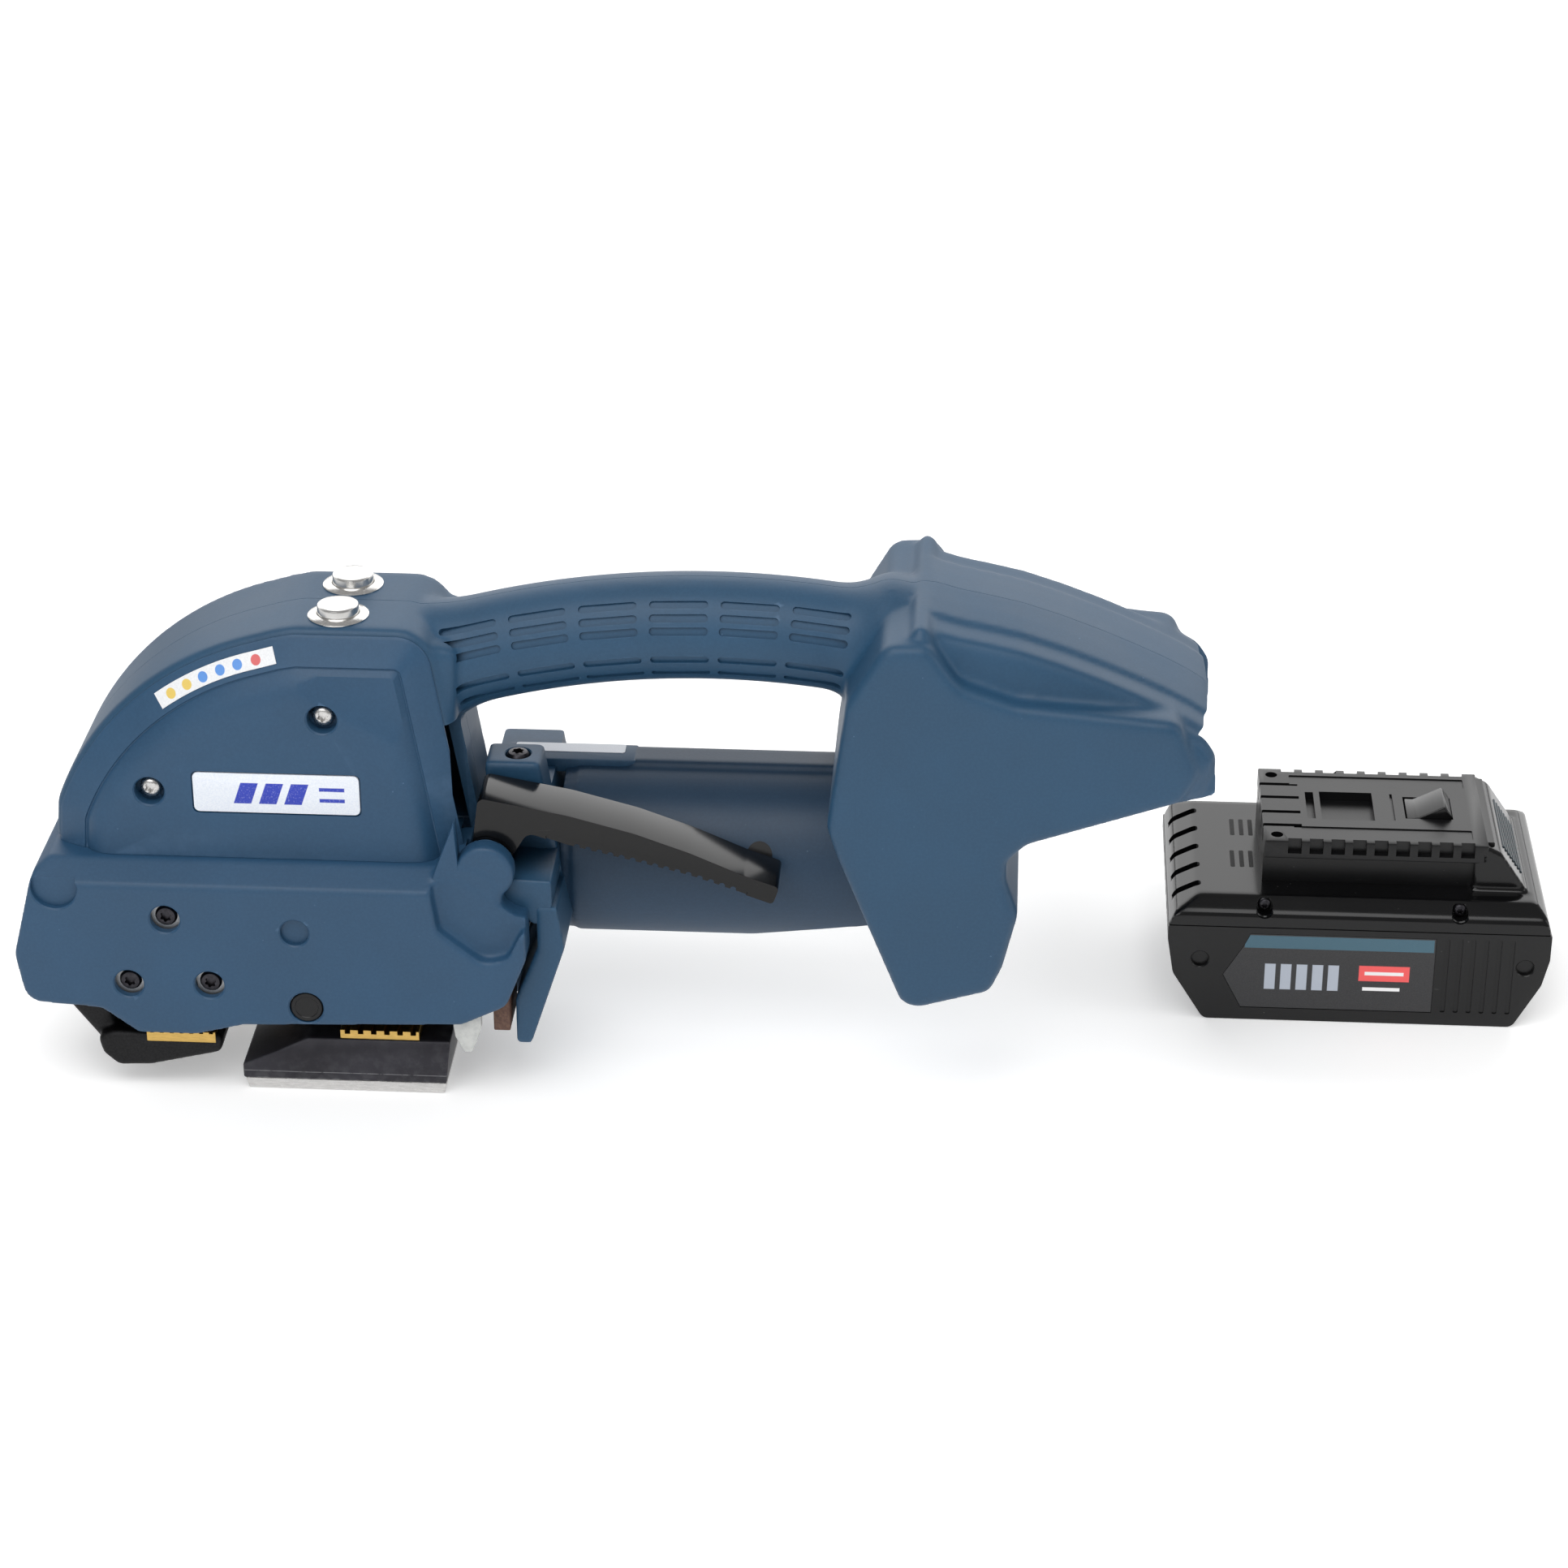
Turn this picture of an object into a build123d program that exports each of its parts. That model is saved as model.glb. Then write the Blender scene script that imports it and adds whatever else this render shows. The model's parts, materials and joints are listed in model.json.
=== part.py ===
from build123d import *
import math
import os

# Battery strapping tool, in millimetres.
# X runs from the front of the tool to its rear, Y from the strap side to the back
# side, Z up. The origin is on the underside of the base, below the housing seam.

# --- driving dimensions ------------------------------------------------------------------------------
WALL = 3.0                      # moulded housing wall
COVER_WALL = 2.5                # moulded cover wall

HEAD_HALF = 22.0                # seam to the flat side of the head
PANEL_HALF = 30.5               # seam to the outer face of an upper cover
COVER_NEAR = -41.0              # outer face of the lower cover, strap side
COVER_FAR = 36.0                # outer face of the lower cover, back side
HEAD_FOOT = 75.7                # height where the head meets the lower covers
HEAD_TOP = 147.0

HANDLE_RY = 16.5                # half width of the grip section
HANDLE_RZ = 16.0                # half height of the grip section
HOOD_HALF = 33.0                # half width of the battery hood
CHEEK_HALF = 40.0               # half width over the cheeks beside the battery bay
BAY_SLOPE = 19.0                # battery rails rise to the rear, degrees
BAY_HALF = 26.5                 # half width of the clear battery bay

PLATE_NEAR = -37.0
PLATE_FAR = 30.0
PLATE_TOP = 17.4
WEAR_THICK = 3.5

BARREL_R = 27.0
BARREL_Y = 17.0
BARREL_Z = 59.5

FEED_X = -51.7
FEED_Z = 36.0
FEED_R = 15.0
ROCKER_X = -84.0
ROCKER_Z = 68.8
ROCKER_PIN_R = 2.5
MOUTH_FRONT = -92.7             # front end of the opening under the lower covers
LEVER_X = 43.6
LEVER_Z = 77.0
LEVER_NEAR = -29.0
LEVER_FAR = -12.0
LEVER_PIN_R = 3.0
LEVER_HUB_R = 6.0

BUTTON_Y = 11.0
BUTTON_R = 6.15
BEZEL_R = 9.0
BUTTON_SLEEVE_R = 8.0
BUTTON_HOLE_R = 8.1

ECC_Y = -14.0
ECC_Z = 50.0
ECC_THROW = 1.2

PACK_X0 = 248.0
PACK_X1 = 366.0
PACK_Y = 60.5
PACK_HALF = 37.5
PACK_SPLIT = 32.7
PACK_DECK = 41.0
RAIL_TOP = 56.6
RAIL_X0 = 277.0
RAIL_X1 = 346.0
RAIL_HALF = 25.0
PACK_WALL = 2.2
NOTCH_PITCH = 6.66
NOTCH_LONG = 4.2
BLADE_YS = (-15, -5, 5, 15)

BORE_R = 4.5                    # wells of the cover screws
BORE_DEPTH = 4.5
PILLAR_R = 6.5
COVER_RIM_IN = 1.6              # housing edge left showing round an upper cover
PANEL_IN = 10.5                 # outline of the head to the edge of the flat panel
BACK_WELL_R = 3.9
BACK_WELL_DEPTH = 3.4
MOTOR_SHAFT_R = 3.0
RUN_GAP = 0.05                  # radial play of a turning shaft


# --- helpers -----------------------------------------------------------------------------------------
def rounded(points, radius):
    """A closed outline with rounded corners, as a face."""
    return make_face(FilletPolyline(*points, radius=radius, close=True))


def side_prism(face, y_near, y_far):
    """An outline drawn in X and Z, carried from one Y to another."""
    placed = Plane.XZ.offset(-y_near) * face
    return extrude(placed, amount=-(y_far - y_near))


def end_prism(face, x_start, x_end):
    """An outline drawn in Y and Z, carried from one X to another."""
    placed = Plane.YZ.offset(x_start) * face
    return extrude(placed, amount=x_end - x_start)


def block(x0, x1, y0, y1, z0, z1):
    centre = Pos((x0 + x1) / 2, (y0 + y1) / 2, (z0 + z1) / 2)
    return centre * Box(x1 - x0, y1 - y0, z1 - z0)


def rod_y(x, z, radius, y0, y1):
    return Pos(x, (y0 + y1) / 2, z) * Rot(90, 0, 0) * Cylinder(radius, y1 - y0)


def rod_x(y, z, radius, x0, x1):
    return Pos((x0 + x1) / 2, y, z) * Rot(0, 90, 0) * Cylinder(radius, x1 - x0)


def rod_z(x, y, radius, z0, z1):
    return Pos(x, y, (z0 + z1) / 2) * Cylinder(radius, z1 - z0)


def inset(face, amount):
    return offset(face, amount=-amount, kind=Kind.INTERSECTION)


def near_side(shape):
    return shape & block(-200, 400, -100, 0, -50, 250)


def far_side(shape):
    return shape & block(-200, 400, 0, 100, -50, 250)


PARTS = {}


def keep(name, shape):
    PARTS[name] = shape


# --- outlines drawn from the side --------------------------------------------------------------------
def head_face(foot=HEAD_FOOT):
    """The side of the head: a bowed front, a flat top and a sloping back."""
    front = Line((-87, foot), (-86, 88))
    bow = ThreePointArc((-86, 88), (-63.5, 122), (-24, 144))
    brow = Line((-24, 144), (-12, HEAD_TOP))
    top = Line((-12, HEAD_TOP), (17, HEAD_TOP))
    shoulder = ThreePointArc((17, HEAD_TOP), (26, 144), (30, 136))
    back = Line((30, 136), (40, foot))
    foot_edge = Line((40, foot), (-87, foot))
    return make_face(front + bow + brow + top + shoulder + back + foot_edge)


HOOD_POINTS = [
    (158, 118), (160, 140), (170, 159), (175, 159), (200, 151), (223, 143), (241, 135.6),
    (254, 128), (257.5, 119), (253, 106), (215, 96), (170, 96),
]
CHEEK_POINTS = [
    (161, 154), (150, 135), (144.7, 95), (148, 85), (167, 37.5), (172, 35.7),
    (193.5, 42), (197, 50), (201.2, 68), (197.4, 79), (197.4, 85.5), (203, 91.3),
    (247, 106.5), (252.3, 115), (245.5, 132.5), (199, 136), (182.5, 142), (173, 154.5),
]
CHEEK_RADII = [4, 6, 5, 5, 3, 3, 3, 4, 4, 3, 3, 4, 5, 5, 4, 5, 4, 3]
LOWER_POINTS = [
    (-87, HEAD_FOOT), (-91, 73), (-98, 46), (-95.5, 30), (-73, 28.5), (-62, 20.2),
    (-45, 20.2), (-30, 24), (36, 26.3), (49.5, 33), (55.8, 49), (55.8, 66), (42, HEAD_FOOT),
]
LOWER_RADII = [1.5, 3, 6, 6, 4, 4, 4, 4, 6, 6, 4, 4, 1.5]

hood_face = rounded(HOOD_POINTS, 4)
cheek_face = rounded(CHEEK_POINTS, CHEEK_RADII)
lower_face = rounded(LOWER_POINTS, LOWER_RADII)

BAY_TURN = Pos(203, 0, 91.3) * Rot(0, -BAY_SLOPE, 0)      # battery bay frame


# --- main housing: head, handle and battery hood, in two halves --------------------------------------
handle_path = ThreePointArc((20, 0, 126), (100, 0, 141.5), (176, 0, 133))


def handle_core(ry, rz):
    section = Plane(handle_path @ 0, z_dir=handle_path % 0, x_dir=(0, 1, 0)) * Ellipse(ry, rz)
    return sweep(section, path=handle_path)


def housing_body():
    head = side_prism(head_face(), -HEAD_HALF, HEAD_HALF)
    hood = side_prism(hood_face, -HOOD_HALF, HOOD_HALF)
    cheeks = side_prism(cheek_face, -CHEEK_HALF, CHEEK_HALF)
    outer = head + handle_core(HANDLE_RY, HANDLE_RZ) + hood + cheeks
    head_room = side_prism(inset(head_face(HEAD_FOOT - WALL - 1), WALL), -HEAD_HALF + WALL,
                           HEAD_HALF - WALL)
    hood_room = side_prism(inset(hood_face, WALL), -HOOD_HALF + WALL, HOOD_HALF - WALL)
    cheek_room = side_prism(inset(cheek_face, WALL), -CHEEK_HALF + WALL, CHEEK_HALF - WALL)
    rooms = head_room + handle_core(HANDLE_RY - WALL, HANDLE_RZ - WALL) + hood_room + cheek_room
    shell = outer - rooms
    # the bay is open below and to the rear, where the battery slides in
    bay_cut = BAY_TURN * block(-1, 70, -BAY_HALF - 6, BAY_HALF + 6, -12, 17)
    lever_slot = block(24, 46, LEVER_NEAR - 6, LEVER_FAR + 2.8, HEAD_FOOT - 2, 117)
    button_holes = rod_z(0, -BUTTON_Y, BUTTON_HOLE_R, 120, 160) + rod_z(1, BUTTON_Y, BUTTON_HOLE_R, 120, 160)
    shell = shell - bay_cut - lever_slot - button_holes
    for sx, sz in COVER_SCREWS:
        shell = shell - rod_y(sx, sz, COVER_SCREW_R, -HEAD_HALF - 1, HEAD_HALF + 1)
    return shell


COVER_SCREWS = [(-55.7, 97.0), (-3.1, 121.9)]
COVER_SCREW_R = 1.9
housing = housing_body()
keep("housing_near_half", near_side(housing))
keep("housing_far_half", far_side(housing))


# --- upper side covers: a sloping border round a raised flat panel -----------------------------------
def upper_cover(clear_lever):
    """Modelled on the strap side, from the head wall out to the panel."""
    rim = inset(head_face(HEAD_FOOT - 12), COVER_RIM_IN)
    panel = inset(head_face(HEAD_FOOT - 12), PANEL_IN)
    depth = PANEL_HALF - HEAD_HALF
    skin = loft([Plane.XZ.offset(HEAD_HALF) * rim, Plane.XZ.offset(PANEL_HALF) * panel])
    rim_in = inset(head_face(HEAD_FOOT - 20), COVER_RIM_IN + COVER_WALL)
    panel_in = inset(head_face(HEAD_FOOT - 20), PANEL_IN - 1 + COVER_WALL)
    room = loft([Plane.XZ.offset(HEAD_HALF - 0.01) * rim_in,
                 Plane.XZ.offset(HEAD_HALF + depth - COVER_WALL) * panel_in])
    cover = skin - room - block(-120, 80, -60, 0, 0, HEAD_FOOT)
    if clear_lever:
        behind = make_face(Polyline((33.6, 117), (35.0, 95), (37.2, 80), (37.2, 60), (60, 60),
                                    (60, 117), close=True))
        cover = cover - side_prism(behind, LEVER_NEAR - 1.5, 0)
    return cover


def counterbore(x, z, y_face, depth, radius, shank):
    mouth = rod_y(x, z, radius, y_face - 1, y_face + depth)
    return mouth + rod_y(x, z, shank, y_face - 1, y_face + depth + 20)


near_cover = upper_cover(True)
for sx, sz in COVER_SCREWS:
    pillar = rod_y(sx, sz, PILLAR_R, -PANEL_HALF + 1, -HEAD_HALF)
    near_cover = near_cover + pillar - counterbore(sx, sz, -PANEL_HALF, BORE_DEPTH, BORE_R, COVER_SCREW_R)
NAMEPLATE = (-42.5, 6.9, 91.0, 103.8)
np_x0, np_x1, np_z0, np_z1 = NAMEPLATE
plate_pocket = block(np_x0 - 0.4, np_x1 + 0.4, -PANEL_HALF - 1, -PANEL_HALF + 0.8, np_z0 - 0.4, np_z1 + 0.4)
near_cover = near_cover - plate_pocket
keep("upper_side_cover", near_cover)

back_cover = mirror(upper_cover(False), about=Plane.XZ)
for sx, sz in COVER_SCREWS:
    pillar = mirror(rod_y(sx, sz, PILLAR_R, -PANEL_HALF + 1, -HEAD_HALF), about=Plane.XZ)
    bore = mirror(counterbore(sx, sz, -PANEL_HALF, BORE_DEPTH, BORE_R, COVER_SCREW_R), about=Plane.XZ)
    back_cover = back_cover + pillar - bore
keep("back_side_cover", back_cover)


def torx_screw(head_r, head_h, shank_r, length, socket_r):
    """A pan-head screw along Z: head from 0 up, shank below."""
    head = Pos(0, 0, head_h / 2) * Cylinder(head_r, head_h)
    shank = Pos(0, 0, -length / 2) * Cylinder(shank_r, length)
    socket = Cylinder(socket_r, 1.6)
    for step in range(6):
        socket = socket - Rot(0, 0, 60 * step) * Pos(socket_r * 1.05, 0, 0) * Cylinder(socket_r * 0.3, 2)
    return head + shank - Pos(0, 0, head_h - 0.75) * socket


def facing_near(x, y, z, shape):
    return Pos(x, y, z) * Rot(90, 0, 0) * shape


def facing_far(x, y, z, shape):
    return Pos(x, y, z) * Rot(-90, 0, 0) * shape


cover_screw = torx_screw(3.4, 2.4, COVER_SCREW_R, 6.4, 1.9)
keep("cover_screws", Compound(children=[
    facing_near(sx, -PANEL_HALF + BORE_DEPTH, sz, cover_screw) for sx, sz in COVER_SCREWS]))
keep("back_cover_screws", Compound(children=[
    facing_far(sx, PANEL_HALF - BORE_DEPTH, sz, cover_screw) for sx, sz in COVER_SCREWS]))
plate_shape = fillet(block(np_x0, np_x1, -PANEL_HALF - 0.2, -PANEL_HALF + 0.8, np_z0, np_z1)
                     .edges().filter_by(Axis.Y), 1.6)
keep("name_plate", plate_shape)


# --- lower covers ------------------------------------------------------------------------------------
def lower_shell(y_outer, y_seam, chamfer_in):
    y_low, y_high = sorted((y_outer, y_seam))
    body = side_prism(lower_face, y_low, y_high)
    inward = 1 if y_outer < 0 else -1
    y_room = sorted((y_outer + inward * COVER_WALL, y_seam + inward * 0.1))
    room = side_prism(inset(lower_face, COVER_WALL), y_room[0], y_room[1])
    mouth = block(MOUTH_FRONT, 60, y_room[0], y_room[1], 10, 34)
    top_edge = make_face(Polyline((y_outer - inward, 70.4), (y_outer, 70.4),
                                  (y_outer + inward * chamfer_in, HEAD_FOOT),
                                  (y_outer + inward * chamfer_in, HEAD_FOOT + 9),
                                  (y_outer - inward, HEAD_FOOT + 9), close=True))
    return body - room - mouth - end_prism(top_edge, -120, 80)


BLACK_SCREWS = [(-51.6, 59.7), (-63.9, 37.4), (-39.6, 37.7)]
DIMPLES = [(-84.3, 69.2, 6.9, 2.0), (-13.0, 56.3, 4.3, 2.0)]
PLUG_AT = (-10.7, 30.8)
lower_near = lower_shell(COVER_NEAR, 0, 10.0)
lower_near = lower_near - block(30, 60, LEVER_NEAR - 5.6, 1, 34, 80)
rear_pocket = make_face(Polyline((38, 80), (41, 66), (52, 58), (60, 58), (60, 80), close=True))
lower_near = lower_near - side_prism(rear_pocket, COVER_NEAR - 1, COVER_NEAR + 4.2)
pocket_floor = side_prism(rear_pocket & lower_face, COVER_NEAR + 4.2, COVER_NEAR + 6.2)
lower_near = lower_near + pocket_floor
for dx, dz, dr, dd in DIMPLES:
    back_pad = rod_y(dx, dz, dr + 1.2, COVER_NEAR + 1.5, COVER_NEAR + COVER_WALL + 0.6)
    inside_cover = side_prism(lower_face, COVER_NEAR, COVER_NEAR + 8)
    lower_near = lower_near + (back_pad & inside_cover) - rod_y(dx, dz, dr, COVER_NEAR - 1, COVER_NEAR + dd)
for sx, sz in BLACK_SCREWS:
    lower_near = lower_near - rod_y(sx, sz, BORE_R, COVER_NEAR - 1, COVER_NEAR + 5)
lower_near = lower_near - rod_y(*PLUG_AT, 5.2, COVER_NEAR - 1, COVER_NEAR + 4)
gusset = make_face(Polyline((27, HEAD_FOOT - 2), (35.4, 92.5), (36.6, HEAD_FOOT - 2), close=True))
lower_near = lower_near + side_prism(gusset, COVER_NEAR + 4.4, COVER_NEAR + 10.2)
keep("lower_side_cover", lower_near)
lower_back = lower_shell(COVER_FAR, 0, 5.5)
lower_back = lower_back - rod_x(BARREL_Y, BARREL_Z, 8.0, 40, 60)
BACK_SCREWS = [(-80.0, 60.0), (-80.0, 36.0), (38.0, 36.0), (38.0, 68.0)]
for sx, sz in BACK_SCREWS:
    pocket = rod_y(sx, sz, 5.2, COVER_FAR - 5.0, COVER_FAR - 1) & side_prism(lower_face, 0, COVER_FAR)
    lower_back = lower_back + pocket - rod_y(sx, sz, BACK_WELL_R, COVER_FAR - BACK_WELL_DEPTH, COVER_FAR + 1)
    lower_back = lower_back - rod_y(sx, sz, 1.5, COVER_FAR - 9, COVER_FAR)
keep("lower_back_cover", lower_back)

plug = rod_y(*PLUG_AT, 5.0, COVER_NEAR + 0.6, COVER_NEAR + COVER_WALL + 2)
keep("cover_plug", plug)


# --- gear frame, base plate and the strap path -------------------------------------------------------
FRAME_TOP = 72.5


def frame_body():
    back_plate = rounded([(-90.5, 58), (-87.6, FRAME_TOP), (44, FRAME_TOP), (44, PLATE_TOP),
                          (-30, PLATE_TOP), (-34, 30), (-72, 30), (-88, 32)], 3)
    frame = side_prism(back_plate, 4, 9)
    foot = block(-28, 28, 4, 28, PLATE_TOP, 24)
    cheek = rounded([(-89.5, 62), (-87.6, FRAME_TOP), (-34, FRAME_TOP), (-34, 24), (-68, 24), (-72, 58)], 3)
    near_plate = side_prism(cheek, -37.8, -34)
    bridge = block(-70, -34, -36, 6, 67.5, FRAME_TOP)
    frame = frame + foot + near_plate + bridge
    for sx, sz in BACK_SCREWS:
        frame = frame + rod_y(sx, sz, 3.7, 8, COVER_FAR - 5.0) - rod_y(sx, sz, 1.5, COVER_FAR - 9, COVER_FAR)
    frame = frame - rod_y(FEED_X, FEED_Z, 8.0, -60, 60)
    frame = frame - rod_y(ROCKER_X, ROCKER_Z, ROCKER_PIN_R, -60, 60)
    for bx, bz in BLACK_SCREWS:
        frame = frame - rod_y(bx, bz, 1.5, -60, -30)
    return frame


keep("gear_frame", frame_body())
black_screw = torx_screw(3.5, 2.6, 1.5, 3.2, 1.9)
keep("frame_screws", Compound(children=[
    facing_near(bx, -37.8, bz, black_screw) for bx, bz in BLACK_SCREWS]))

keep("back_frame_screws", Compound(children=[
    facing_far(bx, COVER_FAR - BACK_WELL_DEPTH, bz, torx_screw(3.5, 2.6, 1.5, 5.0, 1.9))
    for bx, bz in BACK_SCREWS]))

plate_outline = make_face(Polyline((-32, WEAR_THICK), (-32, 8.5), (-12, PLATE_TOP), (31.5, PLATE_TOP),
                                   (30, WEAR_THICK), close=True))
base = side_prism(plate_outline, PLATE_NEAR, PLATE_FAR)
gripper_bed = block(-2.2, 22.2, -35.2, -12.8, PLATE_TOP - 1.5, PLATE_TOP + 1)
base = base - gripper_bed
keep("base_plate", base)
wear = rounded([(-30.5, 0), (29.3, 0), (30, WEAR_THICK), (-31.5, WEAR_THICK)], 0.4)
keep("base_wear_plate", side_prism(wear, PLATE_NEAR + 0.4, PLATE_FAR))


def toothed_bar(x0, x1, y0, y1, z0, z1, pitch, depth, side):
    """A gripper bar with cross grooves on its strap face."""
    bar = block(x0, x1, y0, y1, z0, z1)
    count = int((x1 - x0) / pitch)
    for step in range(count):
        gx = x0 + pitch * (step + 0.35)
        if side > 0:
            bar = bar - block(gx, gx + pitch * 0.4, y0 - 1, y1 + 1, z1 - depth, z1 + 1)
        else:
            bar = bar - block(gx, gx + pitch * 0.4, y0 - 1, y1 + 1, z0 - 1, z0 + depth)
    return bar


keep("weld_gripper", toothed_bar(-2, 22, -35, -13, PLATE_TOP - 1.5, PLATE_TOP + 2.8, 4.0, 1.3, 1))
tongue = rounded([(33, 24.5), (33.5, 21), (36, 15.8), (38.5, 15.8), (40.5, 21), (41.5, 24.5),
                  (41.5, 36), (33, 36)], 0.7)
keep("strap_tongue", side_prism(tongue, COVER_NEAR + COVER_WALL, COVER_NEAR + COVER_WALL + 3))
keep("guide_block", block(44.5, 49.5, -33, -15, 20.5, 33))

# --- rocker with its foot under the feed wheel -------------------------------------------------------
arm_face = rounded([(-87.5, 72.0), (-80.5, 72.0), (-76, 50), (-73.0, 28), (-71.0, 18.8), (-37.5, 18.8),
                    (-38, 12.5), (-60, 7.2), (-70, 6.8), (-75.5, 13), (-85, 26), (-88.5, 50)],
                   [3, 3, 3, 3, 2, 2, 3, 3, 4, 3, 3, 3])
rocker = side_prism(arm_face, -33.5, 3)
rocker = rocker + (side_prism(arm_face, -38, -33) & block(-100, 0, -40, -30, 0, 18.8))
rocker = rocker + rod_y(ROCKER_X, ROCKER_Z, 4.1, -33.5, 3)
rocker = rocker - rod_y(ROCKER_X, ROCKER_Z, ROCKER_PIN_R + RUN_GAP, -60, 60)
rocker = rocker - block(-60.5, -39.5, -40, -10, 16.0, 22)
keep("rocker", rocker)
keep("rocker_insert", toothed_bar(-60.5, -39.5, -38, -10, 16.0, 19.6, 3.0, 0.6, 1))
keep("rocker_pin", rod_y(ROCKER_X, ROCKER_Z, ROCKER_PIN_R, -37.2, 9))

# --- feed wheel, shaft, bearings and worm drive ------------------------------------------------------
def notched_wheel(radius, width, count, depth, y0):
    wheel = rod_y(FEED_X, FEED_Z, radius, y0, y0 + width)
    for step in range(count):
        angle = math.radians(360 / count * step)
        cx = FEED_X + radius * math.cos(angle)
        cz = FEED_Z + radius * math.sin(angle)
        wheel = wheel - rod_y(cx, cz, depth, y0 - 1, y0 + width + 1)
    return wheel


SHAFT_R = 4.0
shaft_bore = rod_y(FEED_X, FEED_Z, SHAFT_R, -60, 60)
keep("feed_wheel", notched_wheel(FEED_R, 18.0, 36, 0.7, -31.5) - shaft_bore)
keep("feed_shaft", rod_y(FEED_X, FEED_Z, SHAFT_R, -37.0, 24.0))
keep("worm_wheel", notched_wheel(16.0, 10.0, 30, 1.0, 12.0) - shaft_bore)


def bearing(y0, y1):
    ring = rod_y(FEED_X, FEED_Z, 8.0, y0, y1)
    return ring - rod_y(FEED_X, FEED_Z, SHAFT_R + RUN_GAP, y0 - 1, y1 + 1)


keep("feed_bearings", Compound(children=[bearing(-37.8, -34), bearing(4, 9)]))

WORM_X0 = -68.0
WORM_X1 = -36.0
worm = rod_x(BARREL_Y, BARREL_Z, 5.0, WORM_X0, WORM_X1)
for step in range(7):
    crest = WORM_X0 + 3 + step * 4.0
    worm = worm + rod_x(BARREL_Y, BARREL_Z, 7.2, crest, crest + 2.0)
worm = worm - rod_x(BARREL_Y, BARREL_Z, MOTOR_SHAFT_R, WORM_X0 - 1, WORM_X1 + 1)
keep("worm", worm)
keep("motor_shaft", rod_x(BARREL_Y, BARREL_Z, MOTOR_SHAFT_R, WORM_X0 - 6, 142))
rotor = rod_x(BARREL_Y, BARREL_Z, 12.0, 84, 130) - rod_x(BARREL_Y, BARREL_Z, MOTOR_SHAFT_R, 80, 140)
keep("motor_rotor", rotor)

MOTOR_X0 = 72.0
MOTOR_X1 = 140.0
stator = rod_x(BARREL_Y, BARREL_Z, 21.0, MOTOR_X0, MOTOR_X1)
stator = stator - rod_x(BARREL_Y, BARREL_Z, 12.4, MOTOR_X0 + 8, MOTOR_X1 - 8)
stator = stator - rod_x(BARREL_Y, BARREL_Z, MOTOR_SHAFT_R + RUN_GAP, MOTOR_X0 - 1, MOTOR_X1 + 1)
keep("motor_stator", stator)

support = rounded([(9, 45), (26, 45), (26, FRAME_TOP - 1), (9, FRAME_TOP - 1)], 2)
bracket = end_prism(support, 6, 11) - rod_x(BARREL_Y, BARREL_Z, MOTOR_SHAFT_R + RUN_GAP, 0, 20)
keep("shaft_bracket", bracket & block(0, 20, 9, 30, 40, 80))

# --- weld drive: belt, eccentric shaft and vibrating jaw ---------------------------------------------
PULLEY_R = 7.0
PULLEY_X0 = 24.0
PULLEY_X1 = 31.0
keep("drive_pulley", rod_x(BARREL_Y, BARREL_Z, PULLEY_R, PULLEY_X0, PULLEY_X1)
     - rod_x(BARREL_Y, BARREL_Z, MOTOR_SHAFT_R, 0, 60))
ecc = rod_x(ECC_Y, ECC_Z, MOTOR_SHAFT_R, 1, 33)
ecc = ecc + rod_x(ECC_Y, ECC_Z, PULLEY_R, PULLEY_X0, PULLEY_X1)
ecc = ecc + rod_x(ECC_Y + ECC_THROW, ECC_Z, 5.0, 5, 13)
keep("eccentric_shaft", ecc)

lug = end_prism(rounded([(-20, 44), (-20, 56), (4, 60), (4, 44)], 2), 0.5, 3.5)
lug_two = end_prism(rounded([(-20, 44), (-20, 56), (4, 60), (4, 44)], 2), 15.5, 20.5)
ecc_bore = rod_x(ECC_Y, ECC_Z, MOTOR_SHAFT_R + RUN_GAP, -5, 40)
keep("eccentric_bracket", (lug + lug_two + block(0.5, 20.5, 1, 4, 44.5, 59)) - ecc_bore)


def belt_loop():
    span = math.hypot(BARREL_Y - ECC_Y, BARREL_Z - ECC_Z)
    tilt = math.degrees(math.atan2(BARREL_Z - ECC_Z, BARREL_Y - ECC_Y))
    inner_r = PULLEY_R + 0.3
    outer = SlotCenterToCenter(span, 2 * (inner_r + 1.4))
    inner = SlotCenterToCenter(span, 2 * inner_r)
    centre = Pos((BARREL_Y + ECC_Y) / 2, (BARREL_Z + ECC_Z) / 2)
    return end_prism(centre * Rot(0, 0, tilt) * (outer - inner), PULLEY_X0 + 0.8, PULLEY_X1 - 0.8)


frame_with_belt_window = PARTS["gear_frame"] - block(PULLEY_X0 - 1, PULLEY_X1 + 1, 0, 10, 40, 70)
keep("gear_frame", frame_with_belt_window)
keep("weld_belt", belt_loop())

jaw = toothed_bar(-2, 22, -35, -13, 25.1, 33, 4.0, 1.0, -1)
jaw = jaw + block(4.5, 14, -24, -4, 33, 59) - block(2, 16, ECC_Y - 7.6, ECC_Y + 7.6, ECC_Z - 6.8, ECC_Z + 6.8)
keep("weld_jaw", jaw)
keep("cutter_blade", block(22.0, 23.6, -34, -13, 25.1, 33))

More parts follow.
